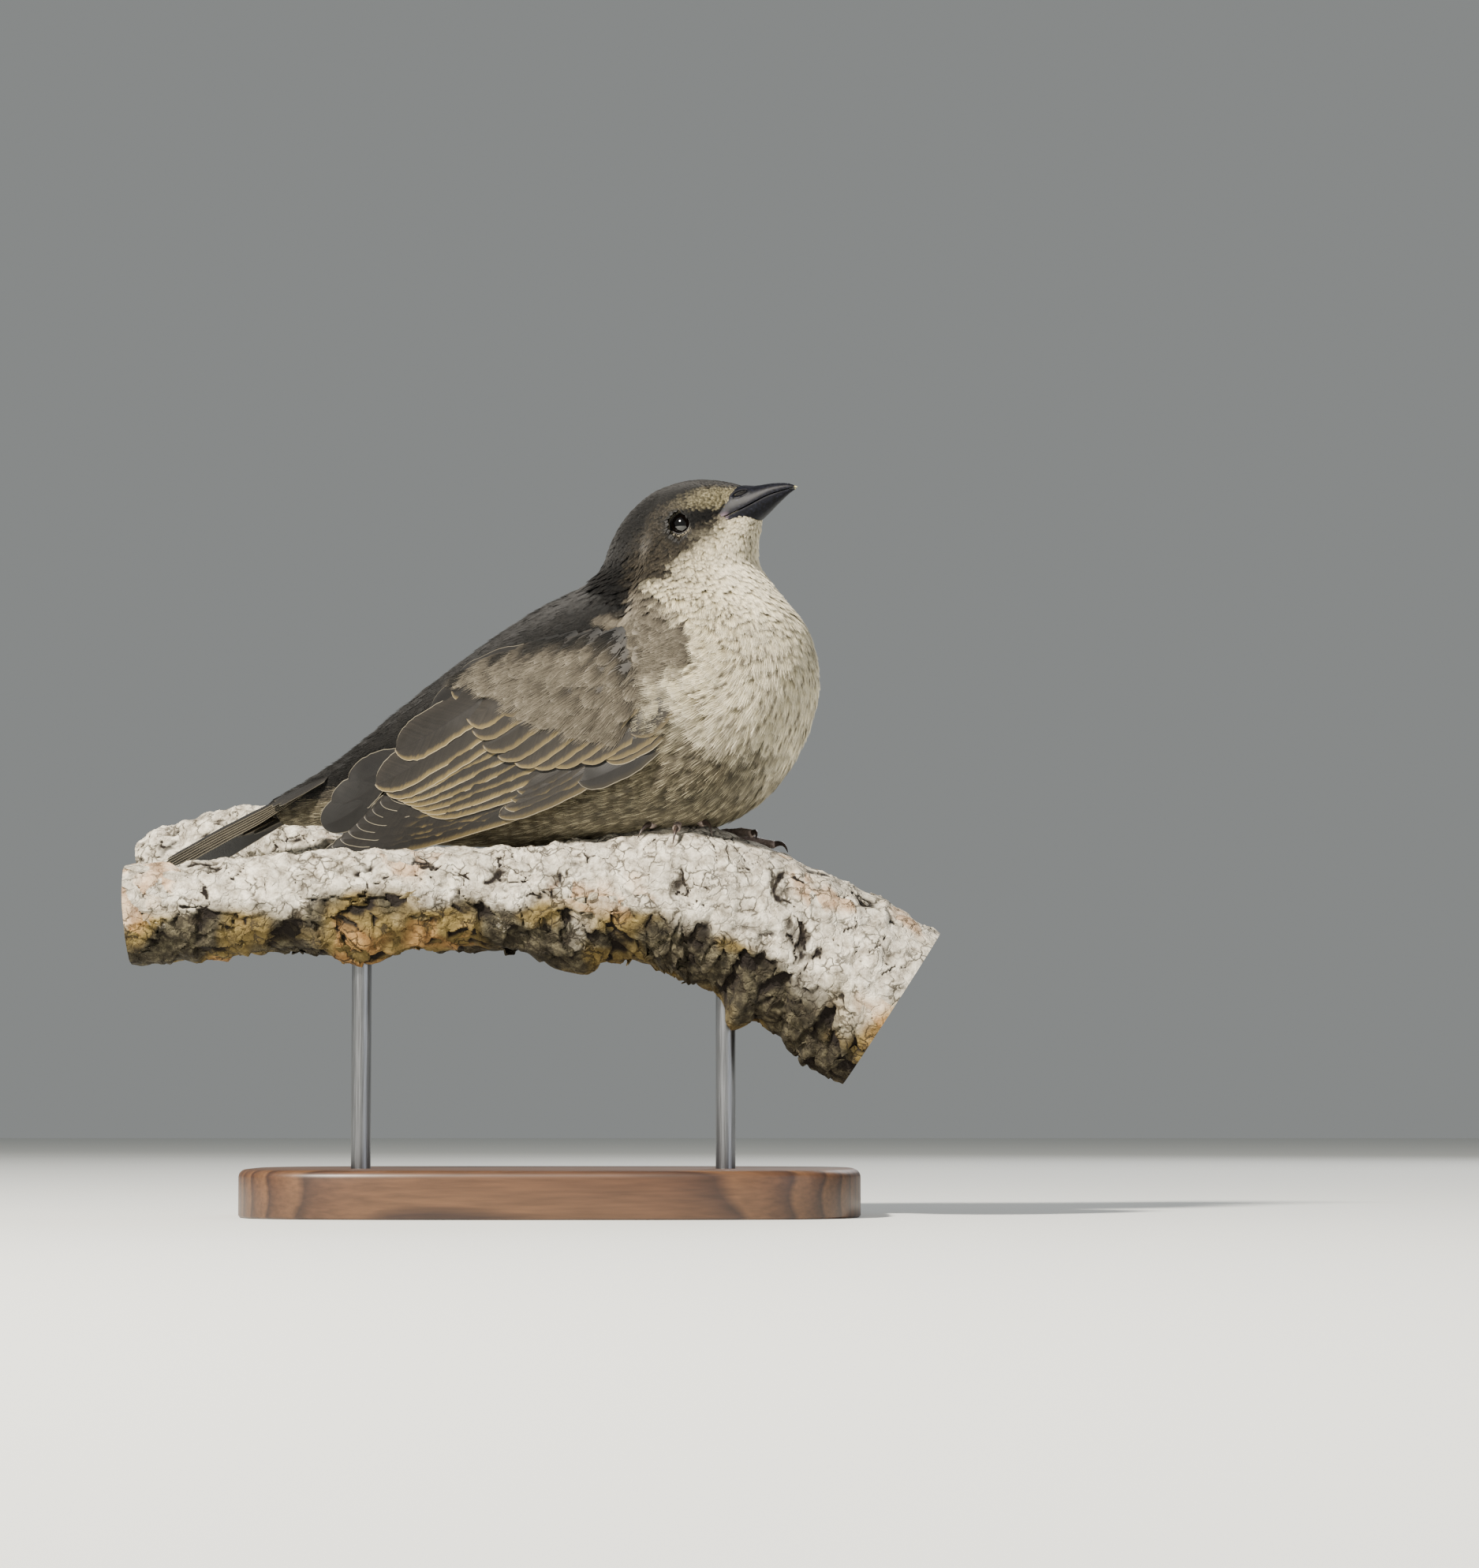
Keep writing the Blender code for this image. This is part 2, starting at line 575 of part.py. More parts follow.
def head(parent):
    """The head with its lids, cut to receive the bill and the eyes, and the bill and eyes themselves."""
    start = RIB["nape"] + 0.03
    skull = flesh("head", start, RIB["bill_base"], "plumage_brown", parent)
    tree = tree_of(flesh_ring(np.linspace(start, RIB["bill_base"], 24)))
    lids, sockets = [], []
    for side, name in ((1.0, "eye_left"), (-1.0, "eye_right")):
        hit, outward = eye_frame(side, tree)
        centre = hit - outward * EYE_SINK
        lids.append(ring_torus("lid", hit + outward * 0.1, outward, LID_RADIUS, LID_THICK, "plumage_brown", parent))
        sockets.append(ball("socket", centre, EYE_RADIUS + GAP, "plumage_brown", parent))
        ball(name, centre, EYE_RADIUS, "eye_dark", parent)
    combined(skull, lids, "UNION")
    for upper in (True, False):
        points, faces = lofted(bill_rings(upper, grow=GAP))
        sockets.append(solid("bill_socket", points, faces, "bill_horn", parent))
        points, faces = lofted(bill_rings(upper))
        half = solid("bill_upper" if upper else "bill_lower", points, faces, "bill_horn", parent)
        if upper:
            combined(half, nostrils(parent), "DIFFERENCE")
    combined(skull, sockets, "DIFFERENCE")


def tube_rings(centres, radii, sides, relief=None):
    """Rings round a path, held square to it. relief(i, angle) adds to the radius."""
    centres = [Vector(c) for c in centres]
    rings = []
    side_way = None
    for i, centre in enumerate(centres):
        ahead = (centres[min(i + 1, len(centres) - 1)] - centres[max(i - 1, 0)]).normalized()
        if side_way is None:
            side_way = ahead.cross(Vector((0.0, 0.0, 1.0)))
            if side_way.length < 0.1:
                side_way = Vector((0.0, 1.0, 0.0))
        side_way = (side_way - ahead * side_way.dot(ahead)).normalized()
        up_way = side_way.cross(ahead)
        ring = []
        for j in range(sides):
            a = 2.0 * math.pi * j / sides
            radius = radii[i] + (relief(i, a) if relief else 0.0)
            ring.append(centre + side_way * radius * math.cos(a) + up_way * radius * math.sin(a))
        rings.append(ring)
    return np.array(rings)


def bark_relief(x, a):
    """Height of the bark's coarse plates at a place along the branch and round it."""
    rough = math.sin(0.31 * x + 2.0 * math.sin(3.0 * a)) * math.cos(5.0 * a + 0.11 * x)
    rough += 0.6 * math.sin(0.83 * x + 4.0 * a)
    return BARK_RELIEF * rough * (1.0 - math.exp(-(((x - FEET_X) / 20.0) ** 2)))


def branch_relief(x, a):
    """The bark's relief with the scabs that hang under the branch."""
    height = bark_relief(x, a)
    for at, angle, along, around, scab in SCABS:
        off = (math.degrees(a) - angle + 180.0) % 360.0 - 180.0
        height += scab * math.exp(-(((x - at) / along) ** 2) - (off / around) ** 2)
    return height


def branch(cutters):
    """The main branch, a bent tapering tube with coarse bark, bored from below for the rods."""
    t = np.linspace(0.0, len(BRANCH) - 1.0, BRANCH_RINGS)
    rows = through(BRANCH, t)
    centres = [(x, BRANCH_Y, z) for x, z, _ in rows]
    rings = tube_rings(centres, rows[:, 2], 20, lambda i, a: branch_relief(rows[i, 0], a))
    points, faces = lofted(rings)
    made = solid("perch_branch", points, faces, "bark")
    return combined(made, cutters, "DIFFERENCE")


def limb():
    """The side limb, which forks off behind the bird and meets the main branch in a close saddle."""
    t = np.linspace(0.0, len(LIMB) - 1.0, 18)
    rows = through(LIMB, t)
    rings = tube_rings(rows[:, :3], rows[:, 3], 16, lambda i, a: bark_relief(rows[i, 0] - 40.0, a))
    points, faces = lofted(rings)
    made = solid("perch_limb", points, faces, "bark")
    saddle_rows = through(BRANCH, np.linspace(0.0, len(BRANCH) - 1.0, BRANCH_RINGS))
    saddle = tube_rings([(x, BRANCH_Y, z) for x, z, _ in saddle_rows], saddle_rows[:, 2] + GAP, 20,
                        lambda i, a: branch_relief(saddle_rows[i, 0], a))
    points, faces = lofted(saddle)
    return combined(made, [solid("saddle", points, faces, "bark")], "DIFFERENCE")


def branch_at(x):
    """Centre, up direction and radius of the branch at a place along X."""
    xs = [row[0] for row in BRANCH]
    k = max(i for i in range(len(xs) - 1) if xs[i] <= x)
    t = k + (x - xs[k]) / (xs[k + 1] - xs[k])
    here, ahead = through(BRANCH, t)[0], through(BRANCH, t + 0.02)[0]
    slope = math.atan2(ahead[1] - here[1], ahead[0] - here[0])
    return Vector((here[0], BRANCH_Y, here[1])), Vector((-math.sin(slope), 0.0, math.cos(slope))), here[2]


def toe_path(x, angle, heading, length, claw, curl, grow):
    """Centres and radii of a toe that follows the bark and ends in a hooked claw."""
    centres, radii = [], []
    total = length + claw
    steps = 8
    for k in range(steps + 1):
        run = -grow + (total + 2.0 * grow) * k / steps
        way = math.radians(heading + 0.5 * curl * run / total)
        middle, up, radius = branch_at(x + run * math.cos(way))
        turn = math.radians(angle) + run * math.sin(way) / radius
        out = up * math.cos(turn) + Vector((0.0, math.sin(turn), 0.0))
        if run < length:
            thick = TOE_RADIUS * (1.0 - 0.22 * run / length)
            height = TOE_RADIUS + GAP + 0.1
        else:
            share = (run - length) / claw
            thick = TOE_RADIUS * (0.74 - 0.62 * share)
            height = TOE_RADIUS + GAP + 0.1 + 0.5 * math.sin(math.pi * share) - 0.75 * share**2
        centres.append(middle + out * (radius + height))
        radii.append(thick + grow)
    return centres, radii


def foot_pieces(name, grow=0.0):
    """Toes, hind toe and the foot of the shank of one foot, each a closed tapering tube."""
    x, angle, headings, lengths, curl, hind = FEET[name]
    pieces = []
    for heading, length in zip(headings, lengths):
        pieces.append(toe_path(x, angle, heading, length, CLAW_LENGTH, curl, grow))
    pieces.append(toe_path(x, angle, headings[1] + 180.0, hind, 0.8 * CLAW_LENGTH, 0.0, grow))
    middle, up, radius = branch_at(x)
    turn = math.radians(angle)
    out = up * math.cos(turn) + Vector((0.0, math.sin(turn), 0.0))
    heel = middle + out * (radius + TOE_RADIUS + GAP + 0.1)
    back = Vector((-math.cos(BIRD_TURN), -math.sin(BIRD_TURN), 0.0))
    rise = (back * 0.5 + Vector((0.0, 0.0, 1.0))).normalized()
    shank = [heel + rise * (TARSUS_LENGTH + grow) * k / 3.0 for k in range(4)]
    pieces.append((shank, [TARSUS_RADIUS + grow] * 4))
    return [lofted(tube_rings(centres, radii, 7)) for centres, radii in pieces]


def foot(name):
    """One foot, its toes, claws and the foot of its shank joined."""
    first, *others = [solid(name if k == 0 else "toe", *piece, "foot_skin")
                      for k, piece in enumerate(foot_pieces(name))]
    return combined(first, others, "UNION", "MANIFOLD")


def rod_cutters(bottom, top):
    """Bores for the two rods, a gap wider than the rods."""
    return [cylinder("bore", x, bottom, top, ROD_RADIUS + GAP, "rod_steel") for x in ROD_X]


def cylinder(name, x, bottom, top, radius, finish, sides=24):
    """An upright round rod in the plane of the branch."""
    a = np.linspace(0.0, 2.0 * math.pi, sides, endpoint=False)
    ring = np.stack([x + radius * np.cos(a), BRANCH_Y + radius * np.sin(a), np.zeros(sides)], axis=-1)
    low, high = ring.copy(), ring.copy()
    low[:, 2], high[:, 2] = bottom, top
    points, faces = lofted(np.array([low, high]))
    return solid(name, points, faces, finish)


def stand():
    """A flat base with rounded corners, and two rods up into the branch."""
    length, depth, height = BASE_SIZE
    a = np.linspace(0.0, 2.0 * math.pi, 40, endpoint=False)
    across = power(np.cos(a), 2.0 / BASE_CORNER)
    along = power(np.sin(a), 2.0 / BASE_CORNER)
    rings = []
    for z, inset in ((0.0, 0.6), (0.6, 0.0), (height - 2.0, 0.0), (height - 0.6, 0.6), (height, 2.0)):
        rings.append(np.stack([(length / 2.0 - inset) * across, (depth / 2.0 - inset) * along,
                               np.full(len(a), z)], axis=-1))
    points, faces = lofted(np.array(rings))
    base = solid("stand_base", points, faces, "base_wood")
    combined(base, rod_cutters(height - ROD_SOCKET, height + 5.0), "DIFFERENCE")
    for name, x in (("stand_rod_rear", ROD_X[0]), ("stand_rod_front", ROD_X[1])):
        middle, _, radius = branch_at(x)
        cylinder(name, x, height - ROD_SOCKET + GAP, middle.z - radius + ROD_SOCKET, ROD_RADIUS, "rod_steel")


def grown_branch():
    """The branch with a gap's width more all round, which the belly is pressed to."""
    rows = through(BRANCH, np.linspace(3.0, len(BRANCH) - 1.5, 18))
    rings = tube_rings([(x, BRANCH_Y, z) for x, z, _ in rows], rows[:, 2] + GAP + BARK_RELIEF, 20)
    return solid("branch_print", *lofted(rings), "bark")


def main():
    """Builds the whole model."""
    for old in list(bpy.data.objects):
        bpy.data.objects.remove(old)
    pose = bpy.data.objects.new("bird_pose", None)
    bpy.context.scene.collection.objects.link(pose)
    pose.matrix_world = Matrix.Translation(Vector(BIRD_AT) * MM) @ Matrix.Rotation(BIRD_TURN, 4, "Z")
    bpy.context.view_layer.update()

    torso = flesh("torso", RIB["tail_root"], RIB["neck_root"], "plumage_pale", pose)
    prints = [grown_branch()]
    for name in FEET:
        prints += [solid("toe_print", *piece, "foot_skin") for piece in foot_pieces(name, grow=GAP + 0.1)]
    combined(torso, prints, "DIFFERENCE")
    flesh("neck", RIB["neck_root"] + 0.03, RIB["nape"], "plumage_pale", pose)
    head(pose)
    mould = wing_mould()
    for side in (1.0, -1.0):
        wing(side, mould, pose)
    tail(pose)
    for name in FEET:
        foot(name)
    bores = []
    for x in ROD_X:
        middle, _, radius = branch_at(x)
        bores.append(cylinder("bore", x, middle.z - radius - 10.0, middle.z - radius + ROD_SOCKET + GAP,
                              ROD_RADIUS + GAP, "rod_steel"))
    branch(bores)
    limb()
    stand()
    for made in bpy.data.objects:
        if made.type == "MESH":
            made.data.shade_smooth()
            made.data.set_sharp_from_angle(angle=math.radians(40.0))


main()
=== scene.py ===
"""The looks of a young starling that crouches on a cut length of branch on a display stand.

One skin carries a coat of small feathers, the folded wings and the tail are long single feathers, and the bill, eyes,
toes, claws, bark and stand are pieces of their own. Lengths are in millimetres: in the bird's frame (forward, left,
up) for the bird, in the stand's frame for the perch and the stand.
"""

import math
from functools import partial

import bpy
import numpy as np
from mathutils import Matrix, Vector
from mathutils.bvhtree import BVHTree
from mathutils.kdtree import KDTree


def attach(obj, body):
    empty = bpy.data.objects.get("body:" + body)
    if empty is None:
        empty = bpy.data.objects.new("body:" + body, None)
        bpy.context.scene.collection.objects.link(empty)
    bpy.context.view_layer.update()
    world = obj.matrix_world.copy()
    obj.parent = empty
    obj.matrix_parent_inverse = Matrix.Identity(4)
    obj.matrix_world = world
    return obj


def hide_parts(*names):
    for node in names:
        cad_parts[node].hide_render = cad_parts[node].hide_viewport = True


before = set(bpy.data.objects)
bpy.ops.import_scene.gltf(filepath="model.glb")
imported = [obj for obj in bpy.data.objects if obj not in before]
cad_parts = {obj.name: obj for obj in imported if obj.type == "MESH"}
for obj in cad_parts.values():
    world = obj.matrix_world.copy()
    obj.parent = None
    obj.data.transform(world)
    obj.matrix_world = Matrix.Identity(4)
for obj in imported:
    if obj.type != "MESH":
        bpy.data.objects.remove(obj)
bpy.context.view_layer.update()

MM = 0.001
PER_MM = 1000.0
BIRD_AT = (35.6, -8.0, 80.0)
BIRD_TURN = math.radians(-22.0)
HEAD_TURN = math.radians(8.0)

# Ribs of the flesh from the rump to the bill: back (forward, up), belly (forward, up), half width
RIBS = (
    ("vent", -119.0, 28.0, -115.0, 21.5, 3.6),
    ("tail_root", -101.0, 37.0, -97.5, 20.5, 8.5),
    ("rump", -91.0, 43.5, -83.0, 17.0, 13.0),
    ("loin", -79.5, 51.5, -63.0, 14.8, 18.5),
    ("low_back", -66.0, 60.6, -41.0, 14.6, 23.0),
    ("mid_back", -52.0, 69.4, -17.0, 16.2, 26.5),
    ("mantle", -41.0, 75.3, 7.0, 19.0, 28.6),
    ("shoulder", -34.0, 78.3, 22.5, 30.5, 29.2),
    ("chest", -29.5, 80.2, 31.6, 50.0, 27.6),
    ("neck_root", -27.2, 82.0, 30.0, 66.5, 23.0),
    ("neck", -25.0, 84.6, 22.2, 77.5, 18.0),
    ("nape", -23.8, 88.6, 17.6, 84.0, 15.0),
    ("hind_head", -21.8, 93.6, 17.6, 88.0, 13.2),
    ("ear", -17.4, 99.2, 18.0, 90.6, 12.2),
    ("brow", -10.2, 104.2, 18.7, 92.2, 11.0),
    ("lores", -0.6, 106.6, 19.1, 93.7, 9.3),
    ("forehead", 8.0, 106.1, 19.3, 94.9, 7.0),
    ("bill_base", 15.0, 104.3, 19.5, 96.0, 4.3),
)
RIB = {name: k for k, (name, *_) in enumerate(RIBS)}
SECTION_POWER = 2.15
WIDEST_DROP = 0.10
LORES = (14.0, 96.0, 5.8, 0.34)
WING_BED = 3.0
WING_LOW = (34.9, 0.499, 0.0028)
WING_LIFT = 0.95
ROOT_SUNK = 0.25
EYE_AT = (1.8, 94.5)


def smooth_step(x):
    """0 below 0, 1 above 1, and an S curve between."""
    x = np.clip(x, 0.0, 1.0)
    return x * x * (3.0 - 2.0 * x)


def bell(x, middle, reach):
    """A bell curve: 1 at the middle, and a third of that at the reach."""
    return np.exp(-(((x - middle) / reach) ** 2))


def through(rows, t):
    """Catmull-Rom spline through the rows of numbers at parameter t, counted in rows."""
    rows = np.asarray(rows, float)
    t = np.clip(np.atleast_1d(np.asarray(t, float)), 0.0, len(rows) - 1.0)
    k = np.minimum(t.astype(int), len(rows) - 2)
    u = (t - k)[:, None]
    before = rows[np.maximum(k - 1, 0)]
    start, end = rows[k], rows[k + 1]
    after = rows[np.minimum(k + 2, len(rows) - 1)]
    return 0.5 * (
        2.0 * start
        + (end - before) * u
        + (2.0 * before - 5.0 * start + 4.0 * end - after) * u**2
        + (3.0 * start - before - 3.0 * end + after) * u**3
    )


def power(x, exponent):
    """A signed power, which gives a superellipse its roundness."""
    return np.sign(x) * np.abs(x) ** exponent


def unit(v):
    """Vectors of length 1."""
    return v / np.maximum(np.linalg.norm(v, axis=-1, keepdims=True), 1e-9)


def all_round(count):
    """Angles of a full turn in even steps, from 0 on."""
    return np.arange(count) / count * 2.0 * math.pi


def along_line(x, pairs):
    """Straight lines between (place, value) pairs."""
    return np.interp(x, *zip(*pairs))


def scatter(i, j, seed):
    """An even random number from 0 to 1 for each pair of whole numbers, always the same one."""
    h = (i * 73856093) ^ (j * 19349663) ^ (seed * 83492791 + 12345)
    h = (h ^ (h >> 13)) * 1274126177
    h = h ^ (h >> 16)
    return (h & 0xFFFFF) / float(0xFFFFF)


def grid_noise(u, v, size, around=None, seed=0):
    """Value noise from -1 to 1: random numbers on a square lattice, blended by S curves. It closes round a girth."""
    x, y = u / size, v / size
    count = None
    if around is not None:
        count = max(3, int(round(around / size)))
        y = v / around * count
    i, j = np.floor(x).astype(np.int64), np.floor(y).astype(np.int64)
    p, q = smooth_step(x - i), smooth_step(y - j)
    total = 0.0
    for di in (0, 1):
        for dj in (0, 1):
            k = (j + dj) % count if count else j + dj
            total = total + scatter(i + di, k, seed) * np.abs(1 - di - p) * np.abs(1 - dj - q)
    return 2.0 * total - 1.0


def cells(u, v, long, wide, around, seed):
    """Cells round scattered seeds, one in each box of a lattice that closes round the girth: how much further the
    second seed is than the nearest, the cell's own random number, and the way to its seed."""
    count = max(3, int(round(around / wide)))
    wide = around / count
    x, y = u / long, v / wide
    i, j = np.floor(x).astype(np.int64), np.floor(y).astype(np.int64)
    near = np.full(u.shape, 1e9)
    second = np.full(u.shape, 1e9)
    own = np.zeros(u.shape)
    way = np.zeros(u.shape + (2,))
    for di in (-1, 0, 1):
        for dj in (-1, 0, 1):
            a, b = i + di, (j + dj) % count
            sx = (i + di + 0.5 + 0.85 * (scatter(a, b, seed) - 0.5) - x) * long
            sy = (j + dj + 0.5 + 0.85 * (scatter(a, b, seed + 1) - 0.5) - y) * wide
            d = 0.5 * np.sqrt(sx * sx + sy * sy) + 0.5 * np.maximum(np.abs(sx), np.abs(sy))
            closer = d < near
            second = np.where(closer, near, np.minimum(second, d))
            near = np.where(closer, d, near)
            own = np.where(closer, scatter(a, b, seed + 2), own)
            way = np.where(closer[..., None], np.stack([sx, sy], axis=-1), way)
    return second - near, own, way


# Finishes

MODE_OF = {
    "Math": "operation",
    "VectorMath": "operation",
    "Mix": "data_type",
    "MapRange": "interpolation_type",
    "Attribute": "attribute_name",
    "UVMap": "uv_map",
    "TexVoronoi": "feature",
}
TRACTS = {
    "tract_a": ("dark", "pale", "olive"),
    "tract_b": ("brow", "lore", "shoulder"),
    "tract_c": ("chance", "strand", "throat"),
}


def linear(code):
    """An sRGB hex colour as linear red, green, blue and alpha."""
    parts = [int(code[k : k + 2], 16) / 255.0 for k in (1, 3, 5)]
    return tuple(c / 12.92 if c <= 0.04045 else ((c + 0.055) / 1.055) ** 2.4 for c in parts) + (1.0,)


def feed(tree, socket, value):
    """Links a socket to another one, or sets its value. A hex colour is turned linear."""
    if isinstance(value, bpy.types.NodeSocket):
        tree.links.new(value, socket)
    else:
        socket.default_value = linear(value) if isinstance(value, str) else value


def add(tree, kind, mode="", *feeds, out=None, stops=()):
    """Adds a node and returns its output, or the outputs that out names. mode is its main setting, such as a Math
    node's operation. feeds are values or sockets for the inputs that it then uses, in order, and None leaves one as
    it is. stops are a colour ramp's (place, colour) pairs."""
    made = tree.nodes.new("ShaderNode" + kind)
    if mode:
        setattr(made, MODE_OF[kind], mode)
    for socket, value in zip([s for s in made.inputs if s.enabled], feeds):
        if value is not None:
            feed(tree, socket, value)
    if stops:
        elements = made.color_ramp.elements
        while len(elements) < len(stops):
            elements.new(0.5)
        for element, (place, code) in zip(elements, stops):
            element.position = place
            element.color = linear(code) if isinstance(code, str) else (code, code, code, 1.0)
    if isinstance(out, tuple):
        return [made.outputs[key] for key in out]
    return made.outputs[out or [s.name for s in made.outputs if s.enabled][0]]


def finish(name):
    """A new material, and add() for its node tree."""
    made = bpy.data.materials.new(name)
    made.use_nodes = True
    return made, partial(add, made.node_tree)


def dress(made, colour, roughness, **more):
    """Feeds the material's shader. Its further inputs go by name, with _ for a space."""
    shader = made.node_tree.nodes["Principled BSDF"]
    for name, value in {"Base_Color": colour, "Roughness": roughness, **more}.items():
        feed(made.node_tree, shader.inputs[name.replace("_", " ")], value)
    return made


def plumage():
    """Contour feathers of a young starling: soft keratin barbs, matt, with a faint silky sheen. The tract masks say
    which part of the bird a feather belongs to, and the vane map where on its feather a point is."""
    made, node = finish("contour_feathers")
    place = node("TexCoord", out="Object")
    parts = {}
    for key, names in TRACTS.items():
        parts.update(zip(names, node("SeparateColor", "", node("Attribute", key), out=(0, 1, 2))))
    across, along = node("SeparateXYZ", "", node("UVMap", "vane"), out=("X", "Y"))
    off = node("Math", "ABSOLUTE", node("MapRange", "LINEAR", across, 0.0, 1.0, -1.0, 1.0))
    throat = node("Math", "MULTIPLY", parts["throat"], parts["pale"])

    # Root, middle and tip of the feathers of each tract, each laid over the ones before. The darker roots are partly
    # the feathers' own greyer bases and partly painted shade where the feathers overlap.
    colour = "#000000"
    for mask, root, centre, end in (
        (1.0, "#100e0b", "#29251e", "#474034"),
        (parts["shoulder"], "#2c2822", "#5e574b", "#827a6b"),
        (parts["dark"], "#060606", "#100f0e", "#1c1a18"),
        (parts["olive"], "#221e17", "#4e4737", "#6e6550"),
        (parts["pale"], "#635a41", "#cac0a2", "#ebe2ca"),
        (throat, "#8d8469", "#cec4a9", "#e8dfc8"),
        (parts["brow"], "#2a261b", "#6a6248", "#a0977a"),
        (parts["lore"], "#040404", "#0c0b0a", "#171512"),
    ):
        shade = node("ValToRGB", "", along, stops=[(0.3, root), (0.65, centre), (1.0, end)])
        colour = node("Mix", "RGBA", mask, colour, shade)

    # Dark teardrops on some breast feathers
    share = node("MapRange", "LINEAR", off, 0.44, 0.14)
    for other in (
        node("ValToRGB", "", along, stops=[(0.5, 0.0), (0.68, 1.0), (0.9, 1.0), (1.0, 0.4)]),
        node("MapRange", "LINEAR", parts["chance"], 0.5, 0.7),
        parts["pale"],
        node("MapRange", "LINEAR", parts["throat"], 0.0, 1.0, 0.85, 0.1),
    ):
        share = node("Math", "MULTIPLY", share, other)
    colour = node("Mix", "RGBA", share, colour, "#42392a")

    # Pale barbs at the ends of the belly's and the eyebrow's feathers
    share = node("ValToRGB", "", along, stops=[(0.6, 0.0), (0.95, 1.0)])
    low = node("MapRange", "LINEAR", parts["olive"], 0.0, 1.0, 0.0, 0.75)
    for other in (node("MapRange", "LINEAR", parts["strand"], 0.5, 0.75), node("Math", "MAXIMUM", low, parts["brow"])):
        share = node("Math", "MULTIPLY", share, other)
    colour = node("Mix", "RGBA", share, colour, "#bfb697")

    # Clouding a few millimetres wide, and the feathers' and barbs' own differences in lightness
    level = node("MapRange", "LINEAR", node("TexNoise", "", place, PER_MM / 8.0, 2.0), 0.3, 0.7, 0.82, 1.14)
    for name, low, high in (("chance", 0.84, 1.14), ("strand", 0.62, 1.34)):
        level = node("Math", "MULTIPLY", level, node("MapRange", "LINEAR", parts[name], 0.0, 1.0, low, high))
    colour = node("VectorMath", "SCALE", colour, level)
    return dress(made, colour, 0.6, Specular_IOR_Level=0.25, Sheen_Weight=0.06, Sheen_Roughness=0.4)


def flight_feather():
    """Feathers of the wing and tail: close keratin vanes with a dull silk gloss. Their barbs are a quarter as fine on
    the real bird, and are drawn 0.4 mm apart so that they show."""
    made, node = finish("flight_feathers")
    outer, inner, tip = node("SeparateColor", "", node("Attribute", "rim"), out=(0, 1, 2))
    kind, lined = node("Attribute", "kind", out=("Color", "Alpha"))
    gold, tone, chance = node("SeparateColor", "", kind, out=(0, 1, 2))
    u, v = node("SeparateXYZ", "", node("UVMap", "vane"), out=("X", "Y"))
    place = node("TexCoord", out="Object")

    side = node("Math", "ABSOLUTE", u)
    barb = node("Math", "MULTIPLY_ADD", side, -1.3, v)
    barb = node("Math", "MULTIPLY_ADD", node("TexNoise", "", place, PER_MM / 5.0, 1.0), 1.6, barb)
    wave = node("Math", "SINE", node("Math", "MULTIPLY", barb, 2.0 * math.pi / 0.4))
    lines = node("CombineXYZ", "", barb, 0.12, node("Math", "MULTIPLY", chance, 40.0))
    streak = node("TexNoise", "", lines, 1.3, 4.0, 0.7)

    # The middle of a feather is darker than its edges, and streaks along the barbs vary the lightness: partly the
    # barbs' own tone, partly painted silky highlights.
    colour = node("Mix", "RGBA", tone, "#0d0c0c", "#3c362d")
    colour = node("VectorMath", "SCALE", colour, node("MapRange", "LINEAR", streak, 0.3, 0.72, 0.62, 1.35))
    edge = node("Math", "MINIMUM", outer, inner)
    colour = node("VectorMath", "SCALE", colour, node("MapRange", "SMOOTHSTEP", edge, 0.6, 3.4, 1.16, 0.74))

    # A golden fringe fades in from the outer edge, with a fine pale line on the very rim, and the shaft is dark
    ragged = node("Math", "MULTIPLY_ADD", streak, 1.5, node("Math", "SUBTRACT", outer, 0.75))
    fringe = node("MapRange", "SMOOTHSTEP", ragged, 1.5, 0.25, 0.0, 0.7)
    colour = node("Mix", "RGBA", node("Math", "MULTIPLY", fringe, gold), colour, "#786841")
    line = node("MapRange", "SMOOTHSTEP", node("Math", "MINIMUM", edge, tip), 0.26, 0.06, 0.0, 0.45)
    colour = node("Mix", "RGBA", node("Math", "MULTIPLY", line, lined), colour, "#a9a08a")
    quill = node("MapRange", "LINEAR", side, 0.3, 0.1, 0.0, 0.6)
    colour = node("Mix", "RGBA", node("Math", "MULTIPLY", quill, lined), colour, "#120e0c")
    fine = node("MapRange", "LINEAR", wave, -1.0, 1.0, 0.96, 1.03)
    differ = node("MapRange", "LINEAR", chance, 0.0, 1.0, 0.86, 1.14)
    colour = node("VectorMath", "SCALE", colour, node("Math", "MULTIPLY", fine, differ))
    bump = node("Bump", "", 0.3, 0.00005, None, wave)
    return dress(made, colour, 0.5, Normal=bump, Specular_IOR_Level=0.35, Sheen_Weight=0.04, Sheen_Roughness=0.35)


def horn():
    """Starling's bill: dry grown horn over bone, blackish with a dull blue gloss, pale at the tip and fleshy at the
    corner of the mouth."""
    made, node = finish("bill_horn")
    streak = node("TexNoise", "", node("TexCoord", out="Object"), PER_MM / 0.8, 4.0, 0.7)
    colour = node("ValToRGB", "", streak, stops=[(0.35, "#050507"), (0.6, "#101119"), (0.75, "#2a2b35")])
    tip, fleshy, pit = node("SeparateColor", "", node("Attribute", "marks"), out=(0, 1, 2))
    # Marks: the pale tip, the fleshy gape, and painted shade, near-black, in the nostril pits.
    for mark, code in ((fleshy, "#5f525a"), (tip, "#d9cd92"), (pit, "#060505")):
        colour = node("Mix", "RGBA", mark, colour, code)
    return dress(made, colour, 0.46, Normal=node("Bump", "", 0.35, 0.00008, None, streak), Specular_IOR_Level=0.13)


